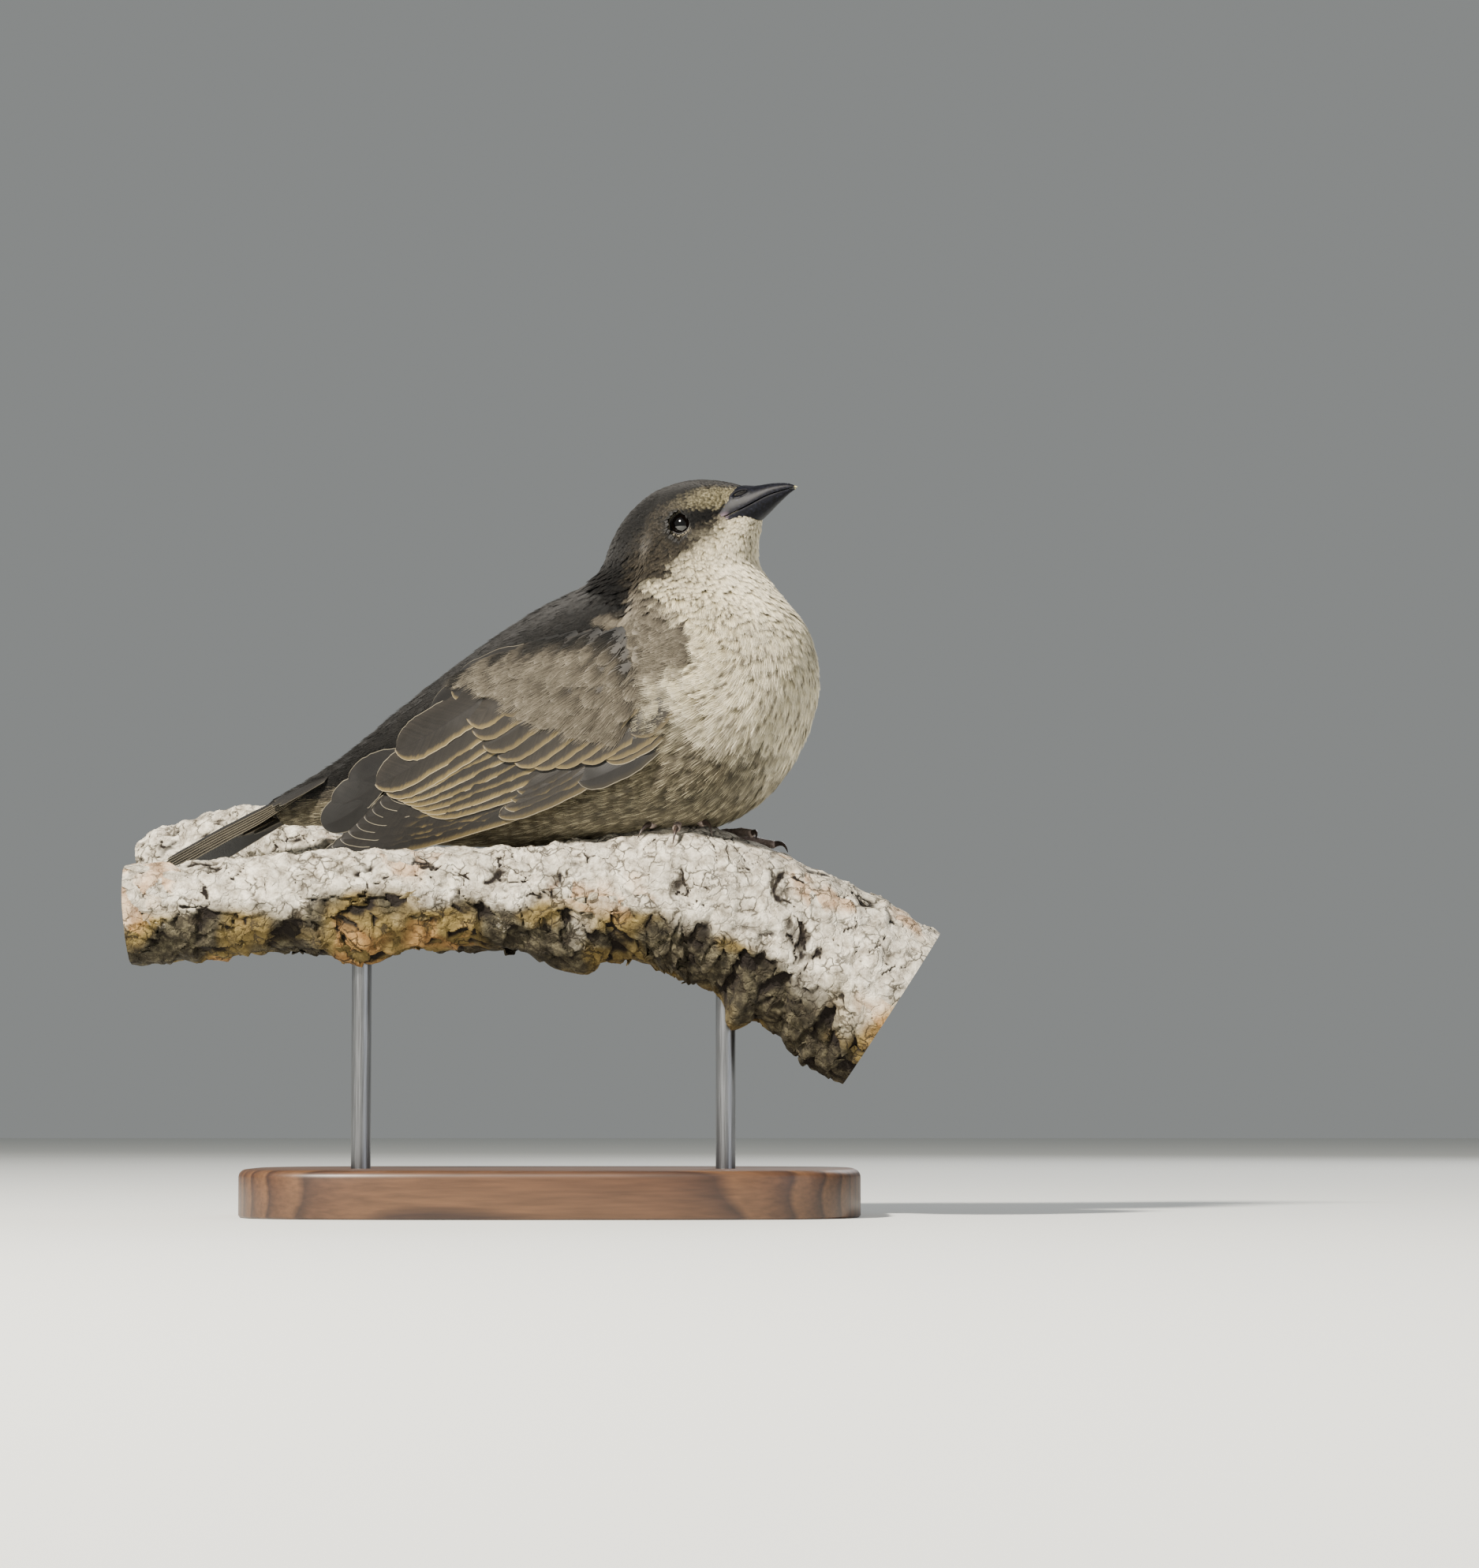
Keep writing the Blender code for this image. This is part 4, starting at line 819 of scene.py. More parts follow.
def plumes(walked, length, width, low, high, bend, barbs, random):
    """Contour feathers: closed leaves under a cover of barbs, which part from the shaft at a small angle and end on a
    rounded line beyond the leaf. Returns each feather's points, vane map and barb numbers, and one feather's faces."""
    count, rows, cols = len(length), LEAF_ROWS, LEAF_COLS
    shape = (count, rows, cols)
    s = np.broadcast_to(np.interp(np.linspace(0.0, 1.0, rows), [0.0, 0.5, 1.0], [0.0, 0.58, LEAF_END])[:, None], shape)
    e = np.broadcast_to(np.linspace(-1.0, 1.0, cols), shape)
    who = np.broadcast_to(np.arange(count)[:, None, None], shape)
    slim = along_line(s / LEAF_END, OUTLINE) / along_line(s, OUTLINE)
    leaf = feather_points(walked, who, s, e * slim, width, low, high - 0.03 * width, bend)[0]
    points = [leaf.reshape(count, -1, 3)]
    maps = [np.stack([0.5 + 0.5 * e * along_line(s, OUTLINE), s], axis=-1).reshape(count, -1, 2)]
    strands = [np.full((count, rows * cols), 0.35)]

    # Barbs: slim spikes in two layers, in clumps that share a part of their lightness
    shape = (count, barbs)
    at = np.broadcast_to(np.arange(count)[:, None], shape)
    e1 = 1.04 * np.linspace(-1.0, 1.0, barbs)[None, :] + random.normal(0.0, 0.05, shape)
    round_end = np.sqrt(np.clip(1.0 - (e1 / 1.15) ** 2, 0.0, 1.0))
    layer = np.arange(barbs)[None, :] % 2
    s1 = 0.56 + 0.47 * round_end * random.uniform(0.88, 1.12, shape) - 0.2 * layer
    s0 = np.maximum(0.04, s1 - random.uniform(0.34, 0.5, shape))
    e0 = 0.66 * e1
    base, normal, aside = feather_points(walked, at, s0, e0, width, low, high, bend)
    off = e1 * 0.5 * width[at]
    lift = low[at] + (high[at] - low[at]) * np.minimum(s1, 1.0) ** 0.8 - off**2 / (2.0 * bend[at])
    lift = lift + random.uniform(-0.01, 0.03, shape) * length[at] + 0.02 * width[at] * layer
    tip = on_quill(walked[0], at, s1) + aside * off[..., None] + normal * lift[..., None]
    beside = unit(np.cross(normal, unit(tip - base)))
    thick = (0.115 * np.sqrt(width[at]) * random.uniform(0.75, 1.25, shape))[..., None] * 0.5
    spike = np.stack([base - beside * thick, base + normal * thick, base + beside * thick, tip], axis=2)
    points.append(spike.reshape(count, -1, 3))
    spot = np.repeat(np.stack([0.5 + 0.5 * e0, s0], axis=-1)[:, :, None, :], 4, axis=2)
    spot[:, :, 3] = np.stack([0.5 + 0.45 * e1, np.minimum(s1, 1.0)], axis=-1)
    maps.append(spot.reshape(count, -1, 2))
    clump = random.random((count, 8))[at, np.clip(((e1 + 1.0) * 4.0).astype(int), 0, 7)]
    strands.append(np.repeat(0.5 * clump + 0.5 * random.random(shape), 4, axis=1))

    # Top, underside, root and end of the leaf, and the four faces of each spike
    left, right = np.arange(rows) * cols, np.arange(rows) * cols + cols - 1
    under = np.stack([left[:-1], right[:-1], right[1:], left[1:]], axis=-1)
    k = np.arange(1, cols - 1)
    root = np.stack([0 * k, k, k + 1], axis=-1)
    end = root[:, [0, 2, 1]] + (rows - 1) * cols
    triangles = np.concatenate([root, end, spike_faces(barbs) + rows * cols])
    quads = np.concatenate([grid_faces(rows, cols), under])
    return [np.concatenate(parts, axis=1) for parts in (points, maps, strands)] + [quads, triangles]


def tufts(name, made, masks, roots, slot):
    """A piece of feathers made by plumes(), with the masks of each feather and its root's place on the unwrap."""
    points, maps, strands, quads, triangles = made
    count, size = points.shape[:2]
    shift = (np.arange(count) * size)[:, None, None]
    faces = [((quads[None] + shift).reshape(-1, 4), 0), ((triangles[None] + shift).reshape(-1, 3), 0)]
    values = {key: np.repeat(data, size, axis=0) for key, data in masks.items()}
    values["tract_c"][:, 1] = strands.ravel()
    bake = roots[:, None, :] * 0.99 + PATCH * maps
    uv = {"OFBake": bake.reshape(-1, 2), "vane": maps.reshape(-1, 2)}
    piece(name, points, faces, [PLUMAGE], slot, uv=uv, values=values, sharp=60)


def bare(t, straight):
    """1 where feathers may root: not under the folded wings, in the eyes, or in the bill."""
    f, w, z = np.moveaxis(straight, -1, 0)
    under = (f < 4.0) & (f > -84.0) & (z > wing_low(f) + 3.5) & (z < along_line(f, WING_TOP) - 2.5)
    under = under & (np.abs(w) > 5.0) & (t < 9.0)
    eye = (np.hypot(f - EYE_AT[0] - 1.35, z - EYE_AT[1]) < 3.55) & (t > 11.0)
    return 1.0 - (under | eye)


def feather_roots(random, table):
    """Roots of feathers spread evenly: random places by area, of which one is kept only if no kept one is nearer than
    the spacing there."""
    t, a = np.linspace(0.0, LAST_RIB, TABLE_ROWS), all_round(TABLE_COLS)
    step_t, step_a = t[1] - t[0], a[1] - a[0]
    tt, aa = np.meshgrid(t, a, indexing="ij")
    area = 1.0 / np.maximum(np.linalg.norm(np.cross(table[..., 9:12], table[..., 12:15]), axis=-1), 1e-6)
    weight = (area / along_line(tt, SPACING) ** 2 * bare(tt, table[..., 15:18])).ravel()
    count = int(5.5 * weight.sum() * step_t * step_a)
    pick = np.searchsorted(np.cumsum(weight) / weight.sum(), random.random(count))
    pick = np.minimum(pick, weight.size - 1)
    t = tt.ravel()[pick] + (random.random(count) - 0.5) * step_t
    a = aa.ravel()[pick] + (random.random(count) - 0.5) * step_a
    kept = thinned(sample(table, t, a)[:, 0:3], along_line(t, SPACING))
    return t[kept], a[kept]


def coat():
    """The body's coat: feathers on evenly spread roots, finer towards the face. Its pieces follow the bird's tracts."""
    random = np.random.default_rng(7)
    t, a = feather_roots(random, COAT_HIDE)
    count = len(t)
    angle = back_angle(a)
    length = along_line(t, LENGTH) * random.uniform(0.82, 1.2, count)
    width = along_line(t, WIDTH) * random.uniform(0.85, 1.15, count)
    chance = random.random(count)
    skew = random.normal(0.0, 0.17, count)
    side_breast = bell(t, 7.35, 0.65) * bell(angle, 106.0, 15.0)
    length = length * (1.0 + 0.35 * side_breast)
    depth = along_line(t, DEPTH)
    low = -depth - 0.05
    high = along_line(t, TIP_HEIGHT) + 0.3 * (random.random(count) - 0.5) * depth + 1.4 * side_breast
    bend = along_line(t, ROUNDNESS)
    tracts = (
        ("crown", (t > 10.5) & (angle < 72.0), "plumage_brown", 16),
        ("face", (t > 12.6) & (angle >= 72.0), "plumage_brown", 16),
        ("cheek", (t <= 12.6) & (t > 10.5) & (angle >= 72.0), "plumage_pale", 24),
        ("neck", (t <= 10.5) & (t > 8.9), "plumage_pale", 30),
        ("breast", (t <= 8.9) & (t > 7.2) & (angle > 75.0), "plumage_pale", 42),
        ("belly", (t <= 7.2) & (angle > 90.0), "plumage_pale", 42),
        ("back", (t <= 8.9) & (angle <= np.where(t > 7.2, 75.0, 90.0)), "plumage_brown", 38),
    )
    for name, chosen, slot, barbs in tracts:
        index = np.nonzero(chosen)[0]
        parts = max(1, math.ceil(len(index) * (4 * barbs + 24) / PIECE_TRIANGLES))
        for part, some in enumerate(np.array_split(index, parts)):
            *walked, middle = quills(COAT_HIDE, t[some], a[some], skew[some], length[some])
            made = plumes(walked, length[some], width[some], low[some], high[some], bend[some], barbs, random)
            roots = np.stack([(a[some] / (2.0 * math.pi)) % 1.0, t[some] / LAST_RIB], axis=-1)
            tufts(f"coat_{name}_{part + 1}", made, mask_values(*middle, chance[some], chance[some]), roots, slot)


# The wings and the tail

BED_F = np.arange(-122.0, 20.0, 1.0)
BED_Z = np.arange(4.0, 84.0, 1.0)
# The greater coverts' roots and tips (forward, up), and their widths
GREATER = (
    (-31.0, 57.0, -51.8, 45.4, 10.2),
    (-22.0, 52.5, -46.8, 38.8, 9.2),
    (-14.0, 49.5, -37.5, 34.2, 8.6),
    (-5.0, 46.5, -27.4, 34.0, 8.0),
    (4.5, 45.0, -13.4, 36.0, 7.6),
)
# Root, tip, width and lift of the tertials and the long scapulars
TERTIALS = (
    ((-31.0, 51.5), (-78.0, 28.4), 9.5, 0.75),
    ((-32.0, 54.0), (-81.6, 30.6), 10.5, 0.9),
    ((-36.0, 58.0), (-74.8, 38.6), 11.5, 1.15),
)
SCAPULARS = (
    ((-43.0, 58.5), (-65.4, 47.8), 10.5, 0.9),
    ((-40.0, 59.5), (-58.5, 52.5), 9.0, 1.0),
    ((-33.0, 60.0), (-52.0, 53.0), 9.5, 1.1),
    ((-24.0, 60.5), (-45.0, 54.0), 9.5, 1.1),
    ((-38.0, 62.0), (-60.0, 55.5), 9.0, 0.5),
)
RUMP_SIDE = (((-84.0, 28.5), (-101.0, 21.0)), ((-80.0, 32.0), (-97.5, 26.0)), ((-74.0, 37.0), (-92.0, 31.5)))
# The field of the soft coverts: its upper and lower edges, its front by height, and the way its feathers point
SILK_TOP = ((-64, 54), (-48.6, 61.5), (-29, 66), (-16, 67.5), (-7, 67), (3, 62.5), (9, 58))
SILK_LOW = ((-56, 58.5), (-46, 57.5), (-36, 54), (-26, 49.5), (-12, 45.5), (0, 43.0), (8, 44))
SILK_FRONT = ((42.0, -4.0), (47.0, -3.0), (54.0, -0.5), (60.0, 6.0), (66.0, 9.0))
SILK_WAY = ((-57.0, 31.0), (-30.0, 37.0), (-10.0, 48.0), (6.0, 64.0))
SILK_HEIGHT = ((0.0, 2.3), (5.0, 3.7), (14.0, 4.5))
SILK_GAP = 1.35
TAIL_ROOT = (-101.8, 34.8)
TAIL_PITCH = math.radians(22.5)
TAIL_LENGTH = 51.0
TAIL_ARCH = (0.74, 2.5)
TAIL_ROLL = math.radians(5.0)
TAIL_DROOP = 0.0014
# The coverts over the tail's root: back along it, to the left, length, width
TAIL_COVERTS = (
    (-2.0, 0.0, 20.0, 9.0), (-2.0, -3.2, 17.0, 9.0), (-2.0, 3.2, 17.0, 9.0), (-4.0, -1.6, 14.0, 8.5),
    (-4.0, 1.6, 14.0, 8.5), (-3.0, -5.6, 13.0, 8.0), (-3.0, 5.6, 13.0, 8.0),
)


def bed_of(side):
    """A map of the surface that a folded wing lies on, seen from its side: how far out it is over a grid of forward
    and up places. Under its widest line it leans inwards again, as the wing's edge does."""
    stations = np.linspace(0.0, RIB["chest"], 70)
    rings = flesh(stations[:, None], all_round(90)[None, :])[0]
    behind = rings[0] * [1.0, 0.75, 1.0] - [16.0, 0.0, 7.0]
    rings[:, :, 1] += np.sign(rings[:, :, 1]) * smooth_step((3.0 - stations) / 3.0)[:, None] * 2.0
    rings = np.concatenate([behind[None], rings])
    tree = BVHTree.FromPolygons(rings.reshape(-1, 3).tolist(), grid_faces(71, 90, True).tolist())
    reach = np.zeros((len(BED_F), len(BED_Z)))
    for i, f in enumerate(BED_F):
        widest = 41.0 + 0.17 * f + 0.0008 * f * f
        for j, z in enumerate(BED_Z):
            level = max(z, widest)
            hit = tree.ray_cast(Vector((f, side * 80.0, level)), Vector((0.0, -side, 0.0)))[0]
            if hit is None:
                hit = tree.find_nearest(Vector((f, side * 20.0, level)))[0]
            below = level - z
            reach[i, j] = abs(hit.y) - 0.05 * below - 0.006 * below * below
    for _ in range(3):
        inner = (reach[:-2, 1:-1] + reach[2:, 1:-1] + reach[1:-1, :-2] + reach[1:-1, 2:]) / 4.0
        reach[1:-1, 1:-1] = 0.5 * reach[1:-1, 1:-1] + 0.5 * inner
    return reach


def wing_place(side):
    """Maps places in the wing's side view to places on the bed and the bed's normals there."""
    reach = bed_of(side)
    slope_f, slope_z = np.gradient(reach)

    def blend(table, x, y):
        i = np.clip(x.astype(int), 0, len(BED_F) - 2)
        j = np.clip(y.astype(int), 0, len(BED_Z) - 2)
        u, v = x - i, y - j
        near = table[i, j] * (1 - u) + table[i + 1, j] * u
        far = table[i, j + 1] * (1 - u) + table[i + 1, j + 1] * u
        return near * (1 - v) + far * v

    def place(f, z):
        x, y = f - BED_F[0], z - BED_Z[0]
        point = np.stack([f, side * blend(reach, x, y), z], axis=-1)
        normal = np.stack([-blend(slope_f, x, y), np.full(f.shape, side), -blend(slope_z, x, y)], axis=-1)
        return point, unit(normal)

    return place


def vane(place, root, tip, width, bow=0.0, base=0.0, outer=1.0, inner=0.0, thick=0.4, gold=0.0, tone=0.4, line=1.0,
         gold_to=2.0, rows=22, cols=9, start=0.5, shaft=0.2, camber=0.2, blunt=0.3, seed=0):
    """One feather as a thin closed blade from root to tip on a surface that place() gives. Its centre line bows, its
    tip is rounded, its middle is cambered, and its lower, outer edge lies higher than its inner one. Returns its
    points and faces, and the maps that its material reads."""
    root, tip = np.array(root, float), np.array(tip, float)
    run = tip - root
    length = math.hypot(*run)
    across = np.array([run[1], -run[0]]) / length
    if across[1] > 0.0:
        across = -across
    s = (1.0 - (1.0 - np.linspace(0.0, 1.0, rows)) ** 1.6)[:, None]
    e = power(np.linspace(-1.0, 1.0, cols)[None, :], 0.8)
    full = np.minimum(1.0, start + (1.0 - start) * s / 0.35)
    rounded = np.sqrt(np.clip(1.0 - np.clip((s - 1.0 + blunt) / blunt, 0.0, 1.0) ** 2.4, 0.004, 1.0))
    ragged = 1.0 + 0.035 * grid_noise(s * length, np.zeros_like(s), 1.3, seed=seed + 5)
    half = 0.5 * width * full * rounded * ragged
    middle = root + run * s + across * bow * 4.0 * s * (1.0 - s)
    point, normal = place(middle[:, 0:1] + across[0] * e * half, middle[:, 1:2] + across[1] * e * half)
    lift = (inner + (outer - inner) * (e + 1.0) / 2.0) * (ROOT_SUNK + (1.0 - ROOT_SUNK) * np.minimum(1.0, 3.0 * s))
    lift = base + lift + camber * (1.0 - e * e) * rounded
    lift = lift + 0.07 * grid_noise(s * length + 0.0 * e, e * half, 2.6, seed=seed)
    depth = thick * (1.0 - 0.6 * e**2) * np.minimum(1.0, 2.6 - 2.3 * s)
    top = point + normal * (lift + depth)[..., None]
    under = point + normal * lift[..., None]
    points = np.concatenate([under.reshape(-1, 3), top.reshape(-1, 3)])
    faces = blade_faces(rows, cols, top, normal[0, cols // 2])
    none = 0.0 * s + 0.0 * e
    golden = gold * (1.0 - smooth_step((s - gold_to) / 0.12)) + none
    mark = np.random.default_rng(seed).random()
    maps = {
        "rim": [(1.0 - e) * half, (1.0 + e) * half, (1.0 - s) * length + none, none + 1.0],
        "kind": [golden, none + tone, none + mark, none + line],
        "vane": [(e - shaft) * half, s * length + none],
    }
    return (points, [(faces, 0)]), {k: np.tile(np.stack(v, axis=-1).reshape(-1, len(v)), (2, 1)) for k, v in maps.items()}


def feathers(name, blades, slot, replaced):
    """Joins blades into one piece with their maps."""
    points, faces = joined([part for part, _ in blades])
    maps = {key: np.concatenate([m[key] for _, m in blades]) for key in blades[0][1]}
    uv = {"vane": maps.pop("vane")}
    piece(name, points, faces, [FLIGHT], slot, replaced, uv=uv, values=maps, sharp=50)


def between(first, last, k):
    """A point a share k of the way from first to last."""
    return tuple(a + (b - a) * k for a, b in zip(first, last))


def silk(name, side, place):
    """The wing's small coverts and the upper scapulars: soft feathers that lie over the bases of the long ones."""
    random = np.random.default_rng(21 if side > 0 else 22)
    f = random.uniform(-57.0, 9.5, 16000)
    z = random.uniform(42.0, 68.0, 16000)
    top = along_line(f, SILK_TOP)
    inside = (z < top - 0.5) & (z > along_line(f, SILK_LOW)) & (f < along_line(z, SILK_FRONT))
    f, z, top = f[inside], z[inside], top[inside]
    kept = thinned(np.stack([f, z, 0.0 * f], axis=-1), np.full(len(f), SILK_GAP))
    f, z, top = f[kept], z[kept], top[kept]
    count = len(f)
    heading = np.radians(along_line(f, SILK_WAY) + random.normal(0.0, 4.5, count))
    length = 10.0 * random.uniform(0.85, 1.2, count)
    width = 4.6 * random.uniform(0.85, 1.2, count)
    turn = heading[:, None] - 0.12 * STATIONS
    run = length[:, None] * STATIONS
    walked = place(f[:, None] - np.cos(turn) * run, z[:, None] - np.sin(turn) * run)
    under = top - z
    high = along_line(under, SILK_HEIGHT) + 0.25 * random.normal(0.0, 1.0, count)
    made = plumes(walked, length, width, high - 1.7, high, np.full(count, 18.0), 44, random)
    dark = smooth_step((5.5 - under + 1.5 * random.normal(0.0, 1.0, count)) / 5.0) * 0.95
    chance = random.random(count)
    masks = pack_masks(count, dark=dark, shoulder=1.0, chance=chance, strand=chance)
    tufts(f"{name}_coverts", made, masks, np.stack([(f + 122.0) / 150.0, z / 90.0], axis=-1), "wing_brown")


def wing(side):
    """A folded wing: primaries, secondaries, tertials, alula and the tiers of coverts, from the bed outwards."""
    name = "wing_left" if side > 0 else "wing_right"
    place = wing_place(side)
    blades = []
    seeds = iter(range(1000 if side > 0 else 2000, 9999))

    def lay(root, tip, width, **more):
        blades.append(vane(place, root, tip, width, base=WING_LIFT, seed=next(seeds), **more))

    lay((-48.0, 54.0), (-2.0, 48.5), 23.0, bow=1.5, outer=-0.9, inner=-0.9, thick=1.0, tone=0.04, line=0.0, rows=40,
        cols=24)
    for share in np.linspace(0.0, 1.0, 9):
        raised = 7.0 * share if side > 0 else 0.0
        tip = (-78.0 - 23.0 * share, 28.0 - 14.2 * share + raised)
        lay(between((-27.0, 39.0), (-7.0, 33.0), share), tip, 8.0 - 0.8 * share, bow=1.4 + 1.6 * share, outer=0.95,
            inner=0.0, gold=0.75, gold_to=0.68, tone=0.14, rows=30, blunt=0.2)
    for share in np.linspace(0.0, 1.0, 6):
        lay(between((-7.0, 39.0), (-24.0, 50.0), share), between((-66.0, 23.5), (-78.0, 28.5), share), 8.0, bow=1.6,
            outer=1.5, inner=0.35, gold=0.9, tone=0.2, rows=28, blunt=0.2)
    for root, tip, width, lift in TERTIALS:
        lay(root, tip, width, bow=1.4, outer=lift + 0.9, inner=lift, gold=0.8, tone=0.24, rows=30, cols=13, blunt=0.24)
    for share in np.linspace(0.0, 1.0, 4):
        lay(between((-16.0, 37.5), (-8.0, 34.5), share), between((-37.5, 27.5), (-43.5, 21.5), share), 5.8, bow=1.0,
            outer=1.75, inner=1.1, gold=0.5, tone=0.3)
    lay((4.0, 40.0), (-20.0, 29.4), 7.6, bow=1.4, outer=2.1, inner=1.3, gold=0.1, tone=0.12, blunt=0.24)
    lay((5.0, 42.5), (-12.0, 34.4), 6.0, bow=0.8, outer=2.2, inner=1.5, gold=0.5, tone=0.4)
    for share in np.linspace(0.0, 1.0, 9):
        row = through(GREATER, share * (len(GREATER) - 1))[0]
        lay(row[0:2], row[2:4], row[4], bow=0.9, outer=2.5, inner=1.4, gold=0.75, tone=0.36, line=0.3, cols=13)
    for share in np.linspace(0.0, 1.0, 5):
        tip = (-42.0 + 37.0 * share, 47.5 - 9.0 * share + 2.0 * share**2)
        lay((-24.0 + 30.0 * share, 58.0 - 6.0 * share), tip, 9.0, bow=0.6, outer=2.7, inner=1.7, gold=0.4, tone=0.4,
            line=0.15, cols=11)
    for root, tip, width, lift in SCAPULARS:
        lay(root, tip, width, bow=0.5, outer=lift + 0.6, inner=lift - 0.6, gold=0.6, tone=0.1, line=0.7, cols=11)
    for root, tip in RUMP_SIDE:
        lay(root, tip, 9.5, bow=0.4, outer=0.2, inner=0.1, tone=0.06, line=0.8, rows=16, cols=11, blunt=0.45, thick=0.3)
    feathers(f"{name}_feathers", blades, "wing_brown", (name,))
    silk(name, side, place)


def tail_place(u, v):
    """Place and normal on the tail's roof, u back along it and v to the bird's left: a rounded ridge with a droop."""
    slope, ridge = TAIL_ARCH
    rounded = np.sqrt(v * v + ridge * ridge)
    height = slope * (ridge - rounded) - TAIL_DROOP * np.maximum(0.0, u - 22.0) ** 2 + v * math.tan(TAIL_ROLL)
    back, down = math.cos(TAIL_PITCH), math.sin(TAIL_PITCH)
    point = np.stack([TAIL_ROOT[0] - u * back + height * down, v, TAIL_ROOT[1] - u * down + height * back], axis=-1)
    normal = np.stack([np.full(v.shape, down), slope * v / rounded, np.full(v.shape, back)], axis=-1)
    return point, unit(normal)


def tail():
    """The folded tail: six pairs of rectrices under the middle pair, and the coverts above and below its root."""
    blades = []
    seeds = iter(range(3000, 9999))

    def lay(root, tip, width, lift, **more):
        flat = {"outer": lift, "inner": lift, "shaft": 0.0, "camber": 0.1}
        blades.append(vane(tail_place, root, tip, width, seed=next(seeds), **flat, **more))

    for k in range(6):
        for side in (-1.0, 1.0):
            tip = (TAIL_LENGTH - 0.9 * k, side * (1.3 + 1.5 * k))
            lift = -0.5 - 0.44 * k - (0.2 if side > 0 else 0.0)
            lay((0.8, side * (0.7 + 0.6 * k)), tip, 7.4, lift, thick=0.45, gold=0.12, tone=0.06, rows=34, cols=11,
                blunt=0.12)
    for k, (u, v, reach, width) in enumerate(TAIL_COVERTS):
        lay((u, v), (u + reach, v * 1.35 + 0.2), width, 0.25 + 0.12 * (k % 3), thick=0.4, tone=0.2, line=0.45)
    lay((2.0, 0.3), (28.0, 0.4), 10.0, -6.0, thick=1.4, tone=0.5, line=0.2, gold=0.3)
    lay((0.0, -2.5), (22.0, -2.8), 8.0, -6.6, thick=1.2, tone=0.5, line=0.2)
    lay((0.0, 2.5), (22.0, 2.8), 8.0, -6.6, thick=1.2, tone=0.5, line=0.2)
    feathers("tail_feathers", blades, "wing_brown", ("tail",))


# Bill and eyes

# Sections of the bill: culmen, mouth's edge and gonys (forward, up), and half width
BILL = (
    (9.5, 102.0, 9.4, 95.0, 11.6, 91.8, 6.9),
    (14.5, 104.3, 13.8, 96.3, 15.6, 93.4, 6.1),
    (19.0, 104.1, 18.3, 98.4, 19.8, 95.7, 4.7),
    (24.0, 104.4, 23.3, 101.0, 24.4, 99.0, 3.0),
    (28.2, 104.1, 27.6, 102.4, 27.9, 101.4, 1.4),
    (30.5, 103.1, 30.1, 102.85, 30.1, 102.55, 0.35),
)
GAP = 0.3
NOSTRIL = (16.3, 101.9, 2.0, 0.85)
NOSTRIL_SLANT = math.radians(18.0)
EYE_RADIUS = 3.4
EYE_SINK = 2.0
# The lid's section: distance from the eye's axis, height over the flesh
LID_SECTION = np.array([
    (2.5, -0.5), (2.54, 0.1), (2.64, 0.24), (2.78, 0.26), (2.95, 0.14), (3.4, -0.05), (4.5, -0.45), (4.5, -1.6),
    (2.6, -1.6),
])
RING_FEATHERS = 620


def bill(upper):
    """One mandible: rings that arch over the culmen or under the gonys, closed by a flat face along the gape. The
    upper one has the nostrils' pits with their rims, and the swollen edge at the corner of the mouth."""
    count, around = 150, 88
    rows = through(BILL, np.linspace(0.0, len(BILL) - 1.0, count))
    edge = rows[:, 2:4]
    reach = (rows[:, 0:2] if upper else rows[:, 4:6]) - edge
    half = rows[:, 6:7] - (0.0 if upper else 0.25)
    a = np.linspace(0.0, math.pi, around)
    rise = power(np.sin(a), 0.85)
    length = np.linalg.norm(reach, axis=1, keepdims=True)
    way = reach / length
    start = edge + way * (GAP / 2.0)
    flat = start[:, None, :] + way[:, None, :] * (length - GAP / 2.0)[:, None, :] * rise[None, :, None]
    f, w, z = flat[..., 0], half * np.cos(a)[None, :], flat[..., 1]
    side, width = np.sign(w), np.abs(w)
    pit = np.zeros(f.shape)
    if upper:
        nf, nz, long, high = NOSTRIL
        c, s = math.cos(NOSTRIL_SLANT), math.sin(NOSTRIL_SLANT)
        ring = np.hypot(((f - nf) * c + (z - nz) * s) / long, ((z - nz) * c - (f - nf) * s) / high)
        pit = smooth_step((1.0 - ring) / 0.35)
        w = w - side * (0.5 * pit - 0.16 * bell(ring, 1.22, 0.2) * (width > 1.0))
    lip = bell(rise, 0.0, 0.28)[None, :] * (0.22 if upper else 0.12)
    w = w + np.sign(w) * lip * smooth_step((26.0 - f) / 10.0)
    tip = smooth_step((f - 29.7) / 0.8)
    fleshy = smooth_step((14.6 - f) / 2.0) * bell(rise, 0.0, 0.1 if upper else 0.36)[None, :]
    # The horn's marks: pale tip, fleshy gape, and the nostril pit, which the horn paints near-black as shade in the
    # hollow.
    marks = np.stack([tip, fleshy, pit, np.ones(f.shape)], axis=-1).reshape(-1, 4)
    points = head_turned(np.stack([f, w, z], axis=-1)).reshape(-1, 3)
    points = np.concatenate([points, points[:around].mean(0)[None], points[-around:].mean(0)[None]])
    marks = np.concatenate([marks, marks[:1], marks[-1:]])
    name = "bill_upper" if upper else "bill_lower"
    piece(f"{name}_horn", points, capped(count, around, not upper), [HORN], "bill_horn", (name,),
          values={"marks": marks}, sharp=42)


